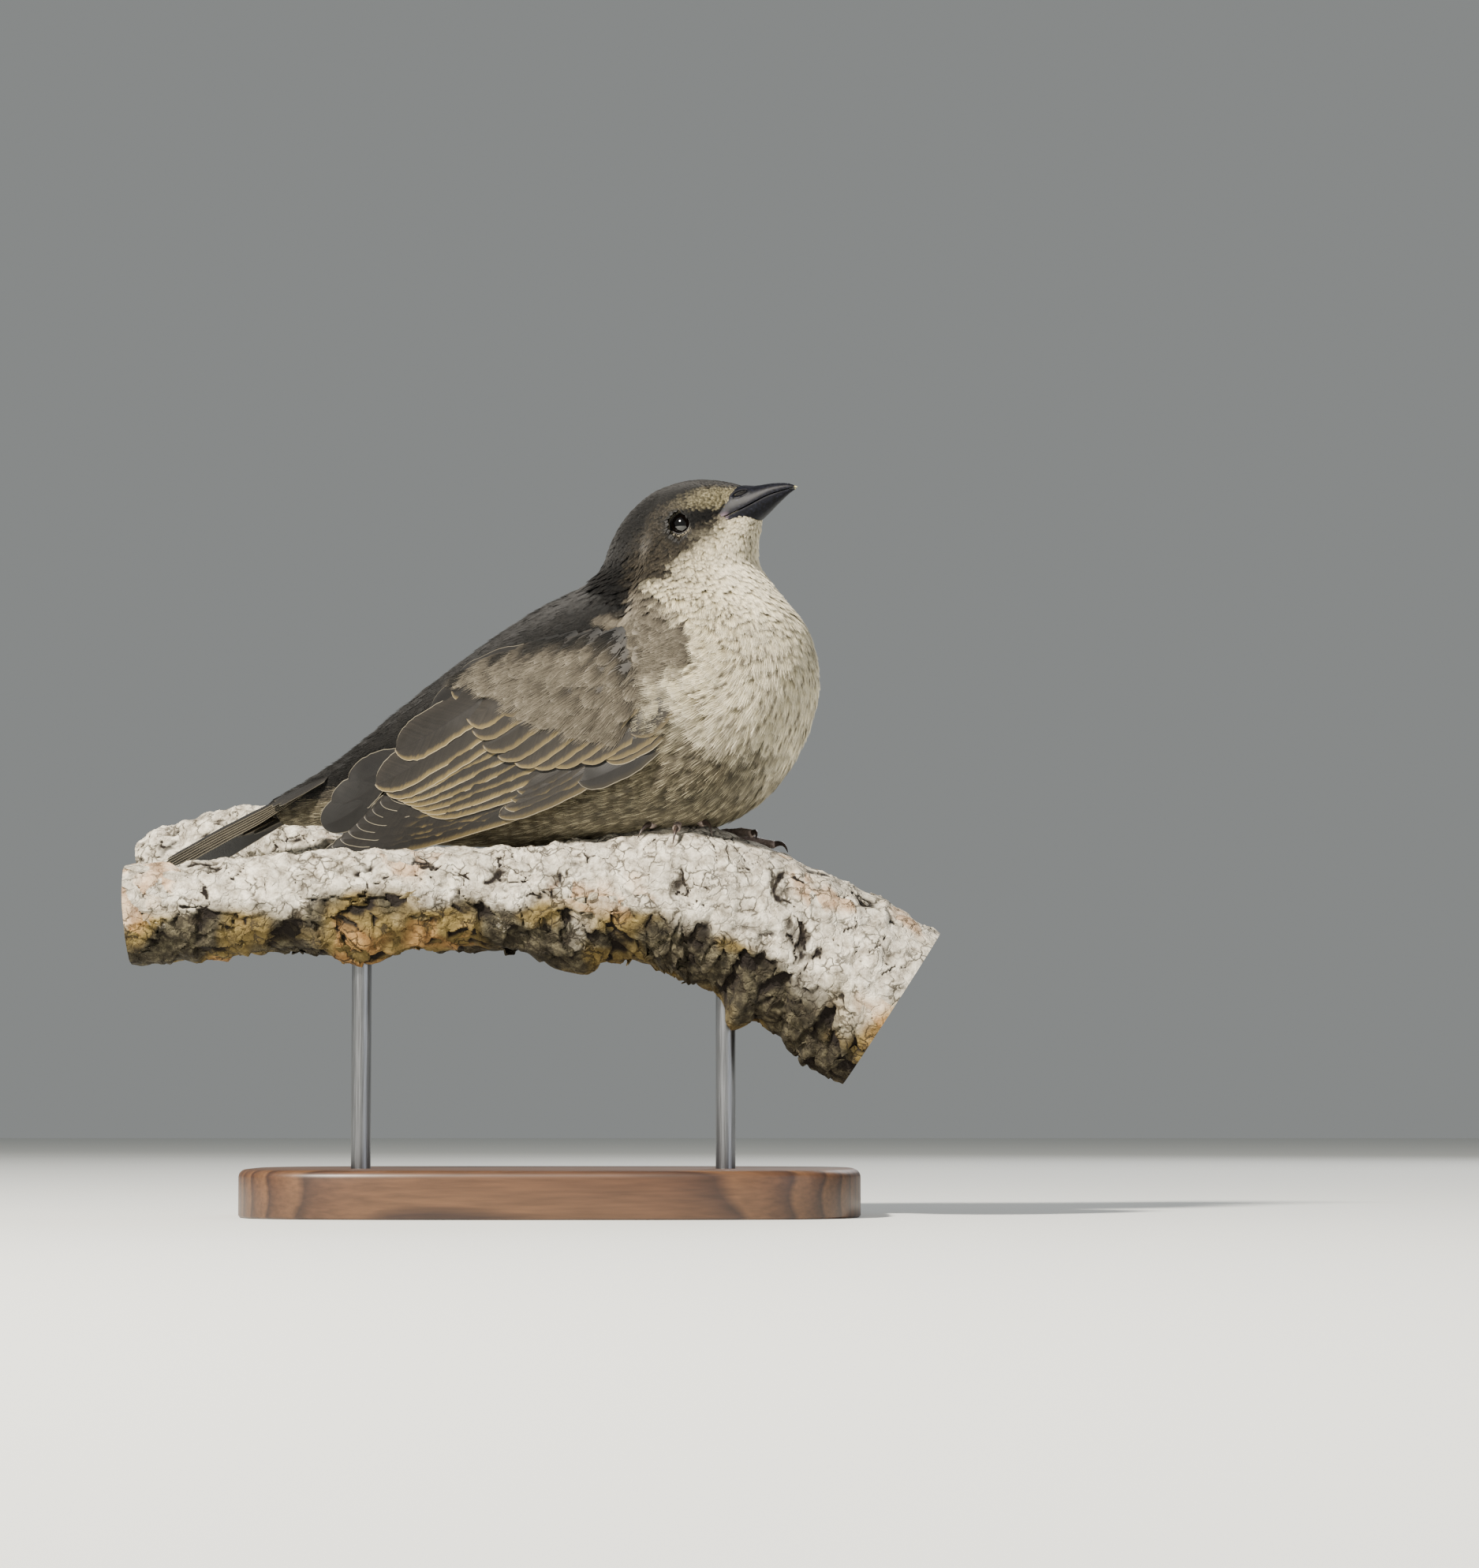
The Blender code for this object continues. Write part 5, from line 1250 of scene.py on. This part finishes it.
def eye_ball(centre, outward, aside, up):
    """Points of the eye's ball round its centre, with its pole outward, and how far each is from the pole."""
    rows, cols = 40, 64
    b = np.linspace(0.0, math.pi, rows + 2)[1:-1][:, None, None]
    a = all_round(cols)[None, :, None]
    ring = aside * np.sin(b) * np.cos(a) + up * np.sin(b) * np.sin(a) + outward * (np.cos(b) + 0.0 * a)
    ways = np.concatenate([ring.reshape(-1, 3), [outward, -outward]])
    from_pole = np.arccos(np.clip(ways @ outward, -1.0, 1.0)) / math.radians(58.0)
    return ways * EYE_RADIUS + centre, capped(rows, cols), np.clip(from_pole, 0.0, 1.0)


def lid(centre, outward, aside, up):
    """A lid: a ring that runs from a lip on the ball out under the feathers, with fine folds."""
    turn = all_round(80)[:, None]
    reach, height = LID_SECTION.T
    folds = 0.03 * np.sin(26.0 * turn) * (reach > 2.6) * (reach < 4.0)
    reach = ((reach + folds) * (1.0 + 0.04 * np.cos(2.0 * turn)))[..., None]
    rise = (EYE_SINK + height + folds)[..., None]
    ring = centre + aside * reach * np.cos(turn)[..., None] + up * reach * np.sin(turn)[..., None] + outward * rise
    return ring, [(closed_grid(*ring.shape[:2]), 0)]


def eye_ring(name, centre, outward, aside, up, side, random):
    """Tiny pale feathers that stand round the lid, broken in front."""
    count = RING_FEATHERS
    turn = random.uniform(0.0, 2.0 * math.pi, count)
    reach = random.uniform(2.8, 4.4, count)
    out = aside * np.cos(turn)[:, None] + up * np.sin(turn)[:, None]
    base = centre + out * reach[:, None] + outward * (EYE_SINK + 0.2 - 0.3 * (reach - 2.8))[:, None]
    lean = unit(out + 0.5 * unit(head_turned((-1.0, 0.0, -0.2))) + random.normal(0.0, 0.2, (count, 3)))
    tip = base + lean * (random.uniform(0.6, 1.0, count) * (0.5 + 0.5 * (reach - 2.8)))[:, None] + outward * 0.05
    beside = unit(np.cross(outward, lean)) * 0.13
    spike = np.stack([base - beside, base + outward * 0.12, base + beside, tip], axis=1)
    gap = np.cos(turn) * side > 0.93
    pale = np.where(gap | (reach > 3.3) | (random.random(count) < 0.12), 0.0, 0.75)
    values = pack_masks(count, pale=pale, chance=0.9, strand=random.random(count))
    values = {key: np.repeat(data, 4, axis=0) for key, data in values.items()}
    maps = np.tile([(0.5, 0.7), (0.5, 0.7), (0.5, 0.7), (0.5, 1.0)], (count, 1))
    uv = {"OFBake": maps * PATCH + [0.5, 0.99], "vane": maps}
    piece(f"eye_ring_{name}", spike, [(spike_faces(count), 0)], [PLUMAGE], "plumage_pale", uv=uv, values=values)


def eyes():
    """The eyes, set into the flesh of the head, with their lids and the rings of feathers round them."""
    t = np.linspace(RIB["nape"], RIB["bill_base"], 60)
    rings = flesh(t[:, None], all_round(120)[None, :])[0]
    tree = BVHTree.FromPolygons(rings.reshape(-1, 3).tolist(), grid_faces(60, 120, True).tolist())
    random = np.random.default_rng(11)
    for side, name in ((1.0, "left"), (-1.0, "right")):
        way = head_turned((0.0, -side, 0.0))
        hit, normal, _, _ = tree.ray_cast(Vector(head_turned((EYE_AT[0], side * 40.0, EYE_AT[1]))), Vector(way))
        normal = np.array(normal) * (-1.0 if np.dot(normal, way) > 0.0 else 1.0)
        outward = unit(unit(head_turned((0.10, side, 0.06))) * 0.3 + unit(normal) * 0.7)
        centre = np.array(hit) - outward * EYE_SINK
        aside = unit(np.cross(outward, [0.0, 0.0, 1.0]))
        axes = (centre, outward, aside, np.cross(aside, outward))
        points, faces, from_pole = eye_ball(*axes)
        piece(f"eye_{name}_ball", points, faces, [EYE], "eye_dark", (f"eye_{name}",), values={"from_pole": from_pole})
        piece(f"lid_{name}", *lid(*axes), [LID], "plumage_brown")
        eye_ring(name, *axes, side, random)


# Feet

BRANCH_Y = -8.0
# The branch: along, up, radius. The limb: along, across, up, radius
BRANCH = (
    (-107.0, 76.0, 12.9),
    (-80.0, 78.0, 12.2),
    (-50.0, 80.0, 12.2),
    (-20.0, 80.5, 12.4),
    (0.0, 79.6, 13.9),
    (16.0, 80.4, 15.8),
    (33.0, 80.2, 18.9),
    (48.0, 74.8, 19.5),
    (66.0, 65.3, 20.6),
    (86.0, 52.4, 22.6),
)
LIMB = (
    (-12.0, 8.0, 78.5, 11.0),
    (-32.0, 32.0, 80.5, 11.6),
    (-50.0, 50.0, 84.5, 11.6),
    (-65.0, 58.5, 90.0, 11.5),
    (-80.0, 65.0, 96.5, 11.4),
    (-94.0, 70.0, 96.0, 11.0),
    (-111.0, 75.0, 90.0, 10.6),
)
# Each foot: place along the branch and angle round it, the front toes' headings and lengths, their curl, hind toe
FEET = {
    "foot_right": (30.0, 2.0, (-58.0, -86.0, -118.0), (8.5, 11.5, 9.0), -10.0, 4.0),
    "foot_left": (36.5, 30.0, (-50.0, -22.0, 6.0), (12.0, 13.0, 10.5), -28.0, 8.0),
}
TOE_RADIUS = 1.25
TOE_SIDES = 24
CLAW_LENGTH = 5.0
TARSUS_RADIUS = 1.5
TARSUS_LENGTH = 6.0


def branch_at(x):
    """Centre, up direction and radius of the branch at places along X."""
    t = np.interp(x, [row[0] for row in BRANCH], np.arange(len(BRANCH)))
    here, ahead = through(BRANCH, t), through(BRANCH, t + 0.02)
    slope = np.arctan2(ahead[:, 1] - here[:, 1], ahead[:, 0] - here[:, 0])
    none = np.zeros(len(t))
    centre = np.stack([here[:, 0], none + BRANCH_Y, here[:, 1]], axis=-1)
    return centre, np.stack([-np.sin(slope), none, np.cos(slope)], axis=-1), here[:, 2]


def rings_round(centres, a, up):
    """Directions from a path's places to the rings round them, which are square to the path. Angle 0 points to the
    side and 90 degrees up."""
    ahead = unit(np.gradient(centres, axis=0))
    aside = unit(np.cross(ahead, up))
    lift = np.cross(aside, ahead)
    return aside[:, None, :] * np.cos(a)[..., None] + lift[:, None, :] * np.sin(a)[..., None]


def tube(centres, radii, up=(0.0, 0.0, 1.0)):
    """Rings round a path, closed by a fan at each end, as points and faces."""
    rows, sides = radii.shape
    points = centres[:, None, :] + radii[..., None] * rings_round(centres, all_round(sides)[None, :], up)
    return np.concatenate([points.reshape(-1, 3), centres[:1], centres[-1:]]), capped(rows, sides, True)


def toe_path(x, angle, heading, length, curl, first, last, steps):
    """Places along a toe that follows the bark, by the distance run from its root, and how high they lie."""
    run = np.linspace(first, last, steps)
    way = np.radians(heading + 0.5 * curl * run / (length + CLAW_LENGTH))
    middle, up, radius = branch_at(x + run * np.cos(way))
    turn = math.radians(angle) + run * np.sin(way) / radius
    out = up * np.cos(turn)[:, None] + np.stack([0.0 * turn, np.sin(turn), 0.0 * turn], axis=-1)
    share = np.clip((run - length) / CLAW_LENGTH, 0.0, 1.0)
    height = TOE_RADIUS + GAP + 0.1 + 0.9 * np.sin(math.pi * share) - 0.9 * share**2
    return middle + out * (radius + height)[:, None], run, out[steps // 2], share


def foot(name):
    """One foot: toes with rings of scutes over two joints, a shank, and a hooked claw on each toe."""
    x, angle, headings, lengths, curl, hind = FEET[name]
    toes = [(heading, length, curl) for heading, length in zip(headings, lengths)]
    toes.append((headings[1] + 180.0, hind, 0.0))
    # The grooves between the scutes are marked here for painted shade.
    skins, claws, crease = [], [], []
    a = all_round(TOE_SIDES)[None, :]
    over = smooth_step(np.sin(a) * 1.2 + 0.3)
    for heading, length, bend in toes:
        centres, run, out, _ = toe_path(x, angle, heading, length, bend, -0.6, length + 0.7, 70)
        scute = np.abs(np.sin(math.pi * run / 1.15))[:, None] ** 0.5
        joints = 0.16 * bell(run % (length * 0.42), length * 0.2, 1.1)[:, None]
        end = np.where(run > length - 0.4, np.clip(1.0 - ((run - length + 0.4) / 1.3) ** 2, 0.2, 1.0), 1.0)
        taper = (1.0 - 0.22 * np.clip(run / length, 0.0, 1.0)) * np.sqrt(end)
        radius = TOE_RADIUS * taper[:, None] * (1.0 + 0.10 * (scute - 1.0) * over + joints)
        skins.append(tube(centres, radius, out))
        crease.append(((1.0 - scute) * over).ravel())
        centres, run, out, share = toe_path(x, angle, heading, length, bend, length - 0.4, length + CLAW_LENGTH, 30)
        radius = TOE_RADIUS * (0.74 - 0.66 * share)[:, None] * (1.0 - 0.18 * np.abs(np.cos(a)))
        claws.append(tube(centres, radius, out))

    # The shank rises from the heel, leaning back
    middle, up, radius = (v[0] for v in branch_at(np.array([x])))
    turn = math.radians(angle)
    out = up * math.cos(turn) + np.array([0.0, math.sin(turn), 0.0])
    heel = middle + out * (radius + TOE_RADIUS + GAP + 0.1)
    rise = unit(np.array([-0.5 * math.cos(BIRD_TURN), -0.5 * math.sin(BIRD_TURN), 1.0]))
    run = np.linspace(-0.5, TARSUS_LENGTH, 40)[:, None]
    scute = np.abs(np.sin(math.pi * run / 1.9)) ** 0.5
    waist = 1.0 - 0.1 * np.sin(math.pi * np.linspace(0.0, 1.0, 40))[:, None]
    shank = TARSUS_RADIUS * (1.0 + 0.07 * (scute - 1.0)) * waist + 0.0 * a
    skins.append(tube(heel + rise * run, shank, (0.0, 1.0, 0.0)))
    crease.append(np.repeat(1.0 - scute, TOE_SIDES, axis=1).ravel())
    values = {"crease": np.concatenate([np.append(c, [0.0, 0.0]) for c in crease])}
    piece(f"{name}_toes", *joined(skins), [FOOT], "foot_skin", (name,), values=values, bird=False)
    piece(f"claws_{name[5:]}", *joined(claws), [CLAW], "foot_skin", bird=False)


# Perch

BARK_RELIEF = 0.55
GIRTH = 80.0
# Folds of the bark's crust: size, height
FOLDS = ((8.0, 0.55), (4.2, 0.42), (2.2, 0.26), (1.1, 0.13))
# Scabs that hang under the branch: place along, degrees round, reach along, reach round, height
SCABS = (
    (-48.0, -72.0, 12.0, 34.0, 4.6),
    (5.0, -80.0, 6.5, 30.0, 4.2),
    (57.0, -75.0, 4.5, 20.0, 6.5),
    (78.0, -88.0, 5.0, 24.0, 3.0),
)
FLAKE_GRID = (7, 6)
NO_HEART = 30.0


def bark_height(x, a, sky, seed):
    """The bark's relief at a place along the branch and round it: a crumpled crust on top, and overlapping flakes that
    lean and lift underneath. Returns the height, how far a place lies in a hollow or crack, which the finish darkens as
    painted shade, the flake's own random number, and how much it belongs to the underside."""
    v = a / (2.0 * math.pi) * GIRTH

    def noise(size, k):
        return grid_noise(x, v, size, GIRTH, seed + k)

    rough = np.sin(0.31 * x + 2.0 * np.sin(3.0 * a)) * np.cos(5.0 * a + 0.11 * x) + 0.6 * np.sin(0.83 * x + 4.0 * a)
    warp_u = x + 2.2 * noise(6.0, 31) + 0.9 * noise(2.1, 33)
    warp_v = v + 2.0 * noise(6.0, 37) + 0.8 * noise(2.1, 39)
    crumple = 0.0
    for k, (size, high) in enumerate(FOLDS):
        crumple = crumple + high * (1.0 - 2.0 * np.abs(grid_noise(warp_u, warp_v, size, GIRTH, seed + k)))
    edge, own, way = cells(warp_u + 0.5 * warp_v, warp_v, 7.5, 3.6, GIRTH, seed + 11)
    lean = np.clip((0.9 * way[..., 1] - 0.35 * way[..., 0]) / 3.0, -1.0, 1.0)
    flake = lean + 0.9 * (own - 0.5) - 0.5 * (1.0 - smooth_step(edge / 0.5))
    low = smooth_step((0.52 - sky + 0.22 * noise(9.0, 51)) / 0.2)
    broken = smooth_step((noise(5.0, 61) - 0.05) / 0.3)
    crack = (1.0 - smooth_step(edge / 0.45)) * broken * (1.0 - low)
    fine = crumple * (1.0 - 0.55 * low) + 0.85 * flake * low + 0.22 * (own - 0.5) - 0.7 * crack
    # Lower places in the relief and the cracks get more painted shade.
    hollow_shade = np.clip(0.55 - 0.75 * fine + 0.6 * crack, 0.0, 1.0)
    return BARK_RELIEF * rough * 0.9 + fine, hollow_shade, own, low


def hanging(x, a):
    """The scabs that hang under the branch."""
    height = 0.0
    for at, angle, along, around, scab in SCABS:
        off = (np.degrees(a) - angle + 180.0) % 360.0 - 180.0
        height = height + scab * bell(x, at, along) * bell(off, 0.0, around)
    return height


def worn(x, a):
    """How much of the branch's relief is left: the top is worn where the bird sits."""
    return 1.0 - 0.65 * bell(x, 37.0, 20.0) * smooth_step(np.sin(a) + 0.4)


def log(name, path, sides, steps, seed, main):
    """A length of branch: a dense tube with the bark's relief. Its sawn ends are discs with growth rings, at both ends
    of the main branch and at the last one of the limb. Returns the bark's grid and marks."""
    rows = through(path, np.linspace(0.0, len(path) - 1.0, steps))
    centres, radius = rows[:, :3], rows[:, 3:4]
    a = np.broadcast_to(all_round(sides), (steps, sides))
    length = np.append(0.0, np.cumsum(np.linalg.norm(np.diff(centres, axis=0), axis=1)))[:, None] + 0.0 * a
    ring = rings_round(centres, a, (0.0, 0.0, 1.0))
    sky = np.clip(0.5 + 0.5 * ring[..., 2], 0.0, 1.0)
    height, hollow_shade, own, low = bark_height(length - 60.0, a, sky, seed)
    to_end = length[-1] - length
    near_cut = smooth_step((np.minimum(length, to_end) if main else to_end) / 3.0)
    height = height * (0.4 + 0.6 * near_cut)
    if main:
        height = height * worn(rows[:, 0:1], a) + hanging(rows[:, 0:1], a)
    reach = radius - 0.35 + height
    shell = centres[:, None, :] + ring * reach[..., None]
    marks = np.stack([hollow_shade, own, sky, low], axis=-1)
    faces = [(grid_faces(steps, sides, True)[:, ::-1], 0)]
    points, all_marks, heart = [shell.reshape(-1, 3)], [marks.reshape(-1, 4)], [np.full(steps * sides, NO_HEART)]
    count = steps * sides
    k = np.arange(sides)
    after = (k + 1) % sides
    shrink = np.append(0.985, np.linspace(1.0, 0.0, 14)[1:-1])
    for row in (0, steps - 1) if main else (steps - 1,):
        disc = centres[row] + ring[row][None] * (reach[row][None, :, None] * shrink[:, None, None])
        points += [disc.reshape(-1, 3), centres[row][None]]
        last = count + (len(shrink) - 1) * sides
        body = grid_faces(len(shrink), sides, True)[:, ::-1] + count
        join = np.stack([row * sides + k, row * sides + after, count + after, count + k], axis=-1)
        fan = np.stack([np.full(sides, last + sides), last + k, last + after], axis=-1)
        faces += [(f[:, ::-1] if row == 0 else f, 1) for f in (body, join, fan)]
        all_marks.append(np.full((len(shrink) * sides + 1, 4), 0.5))
        heart += [(reach[row][None] * shrink[:, None]).ravel(), [0.0]]
        count += len(shrink) * sides + 1
    values = {"bark": np.concatenate(all_marks), "from_heart": np.concatenate(heart)}
    piece(f"{name}_bark", np.concatenate(points), faces, [BARK, CUT], "bark", (name,), values=values, bird=False, sharp=60)
    return shell, marks


def flakes(name, shell, marks, count, seed, least):
    """Loose plates of bark: thin closed shells, rooted in the bark at one end and curled away from it at the other.
    The underside has them all, and the top a share of at least least."""
    random = np.random.default_rng(seed)
    steps, sides = shell.shape[:2]
    long_way = np.gradient(shell, axis=0)
    round_way = (np.roll(shell, -1, axis=1) - np.roll(shell, 1, axis=1)) / 2.0
    normal = unit(np.cross(round_way, long_way))
    p = np.linspace(0.0, 1.0, FLAKE_GRID[0])[:, None]
    q = np.linspace(-1.0, 1.0, FLAKE_GRID[1])[None, :]
    parts, values = [], []
    while len(parts) < count:
        i, j = random.uniform(8, steps - 8), random.uniform(0, sides)
        at = int(i), int(j)
        sky, low = marks[at][2:]
        if random.random() > least + (1.0 - least) * low:
            continue
        long = random.uniform(2.2, 4.5) * (1.0 + 0.7 * low)
        wide = random.uniform(1.2, 2.6) * (1.0 + 0.5 * low)
        turn = random.normal(-0.9 if low > 0.5 else 0.6, 0.7)
        outline = np.sqrt(np.clip(1.0 - (2.0 * p - 1.0) ** 4, 0.05, 1.0)) * (1.0 + 0.25 * random.normal(0.0, 1.0, p.shape))
        x = p * long + 0.25 * random.normal(0.0, 1.0, FLAKE_GRID) * p
        y = q * wide * 0.5 * np.abs(outline)
        di = (x * math.cos(turn) - y * math.sin(turn)) / np.linalg.norm(long_way[at])
        dj = (x * math.sin(turn) + y * math.cos(turn)) / np.linalg.norm(round_way[at])
        flat = shell[np.clip(i + di, 0, steps - 1.001).astype(int), ((j + dj) % sides).astype(int)]
        out = normal[at]
        curl = random.uniform(0.25, 0.8) * (1.0 + 0.8 * low)
        height = -0.35 + curl * 1.5 * p**1.5 + 0.10 * q**2 + 0.05 * random.normal(0.0, 1.0, FLAKE_GRID)
        level = (flat - flat.mean(axis=(0, 1))) @ out
        flat = flat - level[..., None] * out * 0.8
        top = flat + out * (height + 0.34 * (1.0 - 0.7 * q**2))[..., None]
        under = flat + out * height[..., None]
        points = np.concatenate([under.reshape(-1, 3), top.reshape(-1, 3)])
        parts.append((points, [(blade_faces(*FLAKE_GRID, top, out), 0)]))
        mark = np.zeros(FLAKE_GRID + (4,))
        mark[..., 0] = 0.45 - 0.4 * p
        mark[..., 1:] = random.random(), sky, low
        values.append(np.tile(mark.reshape(-1, 4), (2, 1)))
    values = np.concatenate(values)
    values = {"bark": values, "from_heart": np.full(len(values), NO_HEART)}
    piece(name, *joined(parts), [BARK], "bark", values=values, bird=False, sharp=40)


def perch():
    """The cut length of the branch and its side limb."""
    branch = [(x, BRANCH_Y, z, r) for x, z, r in BRANCH]
    flakes("branch_flakes", *log("perch_branch", branch, 224, 430, 3, True), 420, 5, 0.25)
    flakes("limb_flakes", *log("perch_limb", LIMB, 176, 260, 17, False), 160, 6, 0.4)


# The stand

BASE_SIZE = (156.0, 104.0, 12.0)
BASE_EDGE = 2.0
ROD_RADIUS = 2.5
ROD_X = {"front": 44.0, "rear": -48.0}
ROD_SOCKET = 8.0


def turned(name, profile, outline, made, slot, replaced):
    """A piece from rings of an upright body: the outline's (x, y) points, drawn at each height of the profile and
    shrunk by its inset, with a fan over each end."""
    rings = [np.insert(outline(inset), 2, z, axis=1) for z, inset in profile]
    points = np.concatenate(rings + [[rings[0].mean(0), rings[-1].mean(0)]])
    faces = capped(len(rings), len(rings[0]), True)
    piece(name, points, faces, [made], slot, (replaced,), bird=False, sharp=40)


def stand():
    """The stand: a base board with softened edges, and steel rods that stand in its sockets."""
    length, depth, height = BASE_SIZE

    def board(inset):
        a = all_round(160)
        x = (length / 2.0 - inset) * power(np.cos(a), 0.5)
        return np.stack([x, (depth / 2.0 - inset) * power(np.sin(a), 0.5)], axis=-1)

    bends = np.linspace(0.0, math.pi / 2.0, 7)
    edge = [(height - BASE_EDGE * (1.0 - math.sin(b)), BASE_EDGE * (1.0 - math.cos(b))) for b in bends]
    turned("stand_base_board", [(0.0, 0.6), (0.2, 0.25), (0.6, 0.0)] + edge, board, WOOD, "base_wood", "stand_base")
    for name, x in ROD_X.items():

        def round_bar(inset, x=x):
            b = all_round(40)
            radius = ROD_RADIUS - inset
            return np.stack([x + radius * np.cos(b), BRANCH_Y + radius * np.sin(b)], axis=-1)

        middle, _, radius = branch_at(np.array([x]))
        profile = [(height - ROD_SOCKET + GAP, 0.0), (middle[0, 2] - radius[0] + ROD_SOCKET, 0.0)]
        turned(f"stand_rod_{name}_steel", profile, round_bar, STEEL, "rod_steel", f"stand_rod_{name}")


# Camera, light and floor

LAMP_AIM = (0.0, 0.0, 0.12)
# Name, place, size in metres, watts and colour
LAMPS = (
    ("key", (-0.75, -1.0, 1.1), 0.16, 92.0, "#fff8ec"),
    ("fill", (1.1, -0.9, 0.45), 0.9, 4.5, "#f2f5ff"),
    ("back", (0.5, 1.2, 0.9), 0.8, 9.0, "#ffffff"),
)
CAMERA_AT = (0.0475, -1.2051, 0.0255)
CAMERA_AIM = (0.0475, -0.008, 0.1092)
SENSOR = 36.0
DISTANCE = 1.2
FRAME_WIDTH = 0.3976


def aimed(name, data, at, to):
    """An object that looks from one place to another."""
    made = bpy.data.objects.new(name, data)
    made.location = at
    made.rotation_euler = (Vector(to) - Vector(at)).to_track_quat("-Z", "Y").to_euler()
    bpy.context.scene.collection.objects.link(made)
    return made


def studio():
    """A pale floor that the wall's light matches, a broad key light from the upper left, and softer fill lights."""
    for name, at, size, watts, colour in LAMPS:
        lamp = bpy.data.lights.new(name, "AREA")
        lamp.size = size
        lamp.energy = watts
        lamp.color = linear(colour)[:3]
        aimed(name, lamp, at, LAMP_AIM)
    world = bpy.data.worlds.new("pale_room")
    world.use_nodes = True
    background = world.node_tree.nodes["Background"]
    background.inputs[0].default_value = linear("#dfe3e2")
    background.inputs[1].default_value = 0.34
    bpy.context.scene.world = world
    mesh = bpy.data.meshes.new("floor")
    mesh.from_pydata([(-4, -4, 0), (4, -4, 0), (4, 4, 0), (-4, 4, 0)], [], [(0, 1, 2, 3)])
    mesh.materials.append(dress(finish("floor_paint")[0], "#d9dbd8", 0.8))
    floor = bpy.data.objects.new("floor", mesh)
    bpy.context.scene.collection.objects.link(floor)


def camera():
    """The photograph's view: level with the perch and turned up by four degrees."""
    lens = bpy.data.cameras.new("camera")
    lens.sensor_width = SENSOR
    lens.lens = SENSOR * DISTANCE / FRAME_WIDTH
    lens.clip_start = 0.01
    bpy.context.scene.camera = aimed("camera", lens, CAMERA_AT, CAMERA_AIM)


PLUMAGE = plumage()
FLIGHT = flight_feather()
HORN = horn()
EYE = wet_eye()
LID = lid_skin()
FOOT = foot_skin()
CLAW = claw_horn()
BARK = bark()
CUT = cut_wood()
WOOD = base_wood()
STEEL = rod_steel()

camera()
studio()
skin()
coat()
for side in (1.0, -1.0):
    wing(side)
tail()
bill(True)
bill(False)
eyes()
for name in FEET:
    foot(name)
perch()
stand()
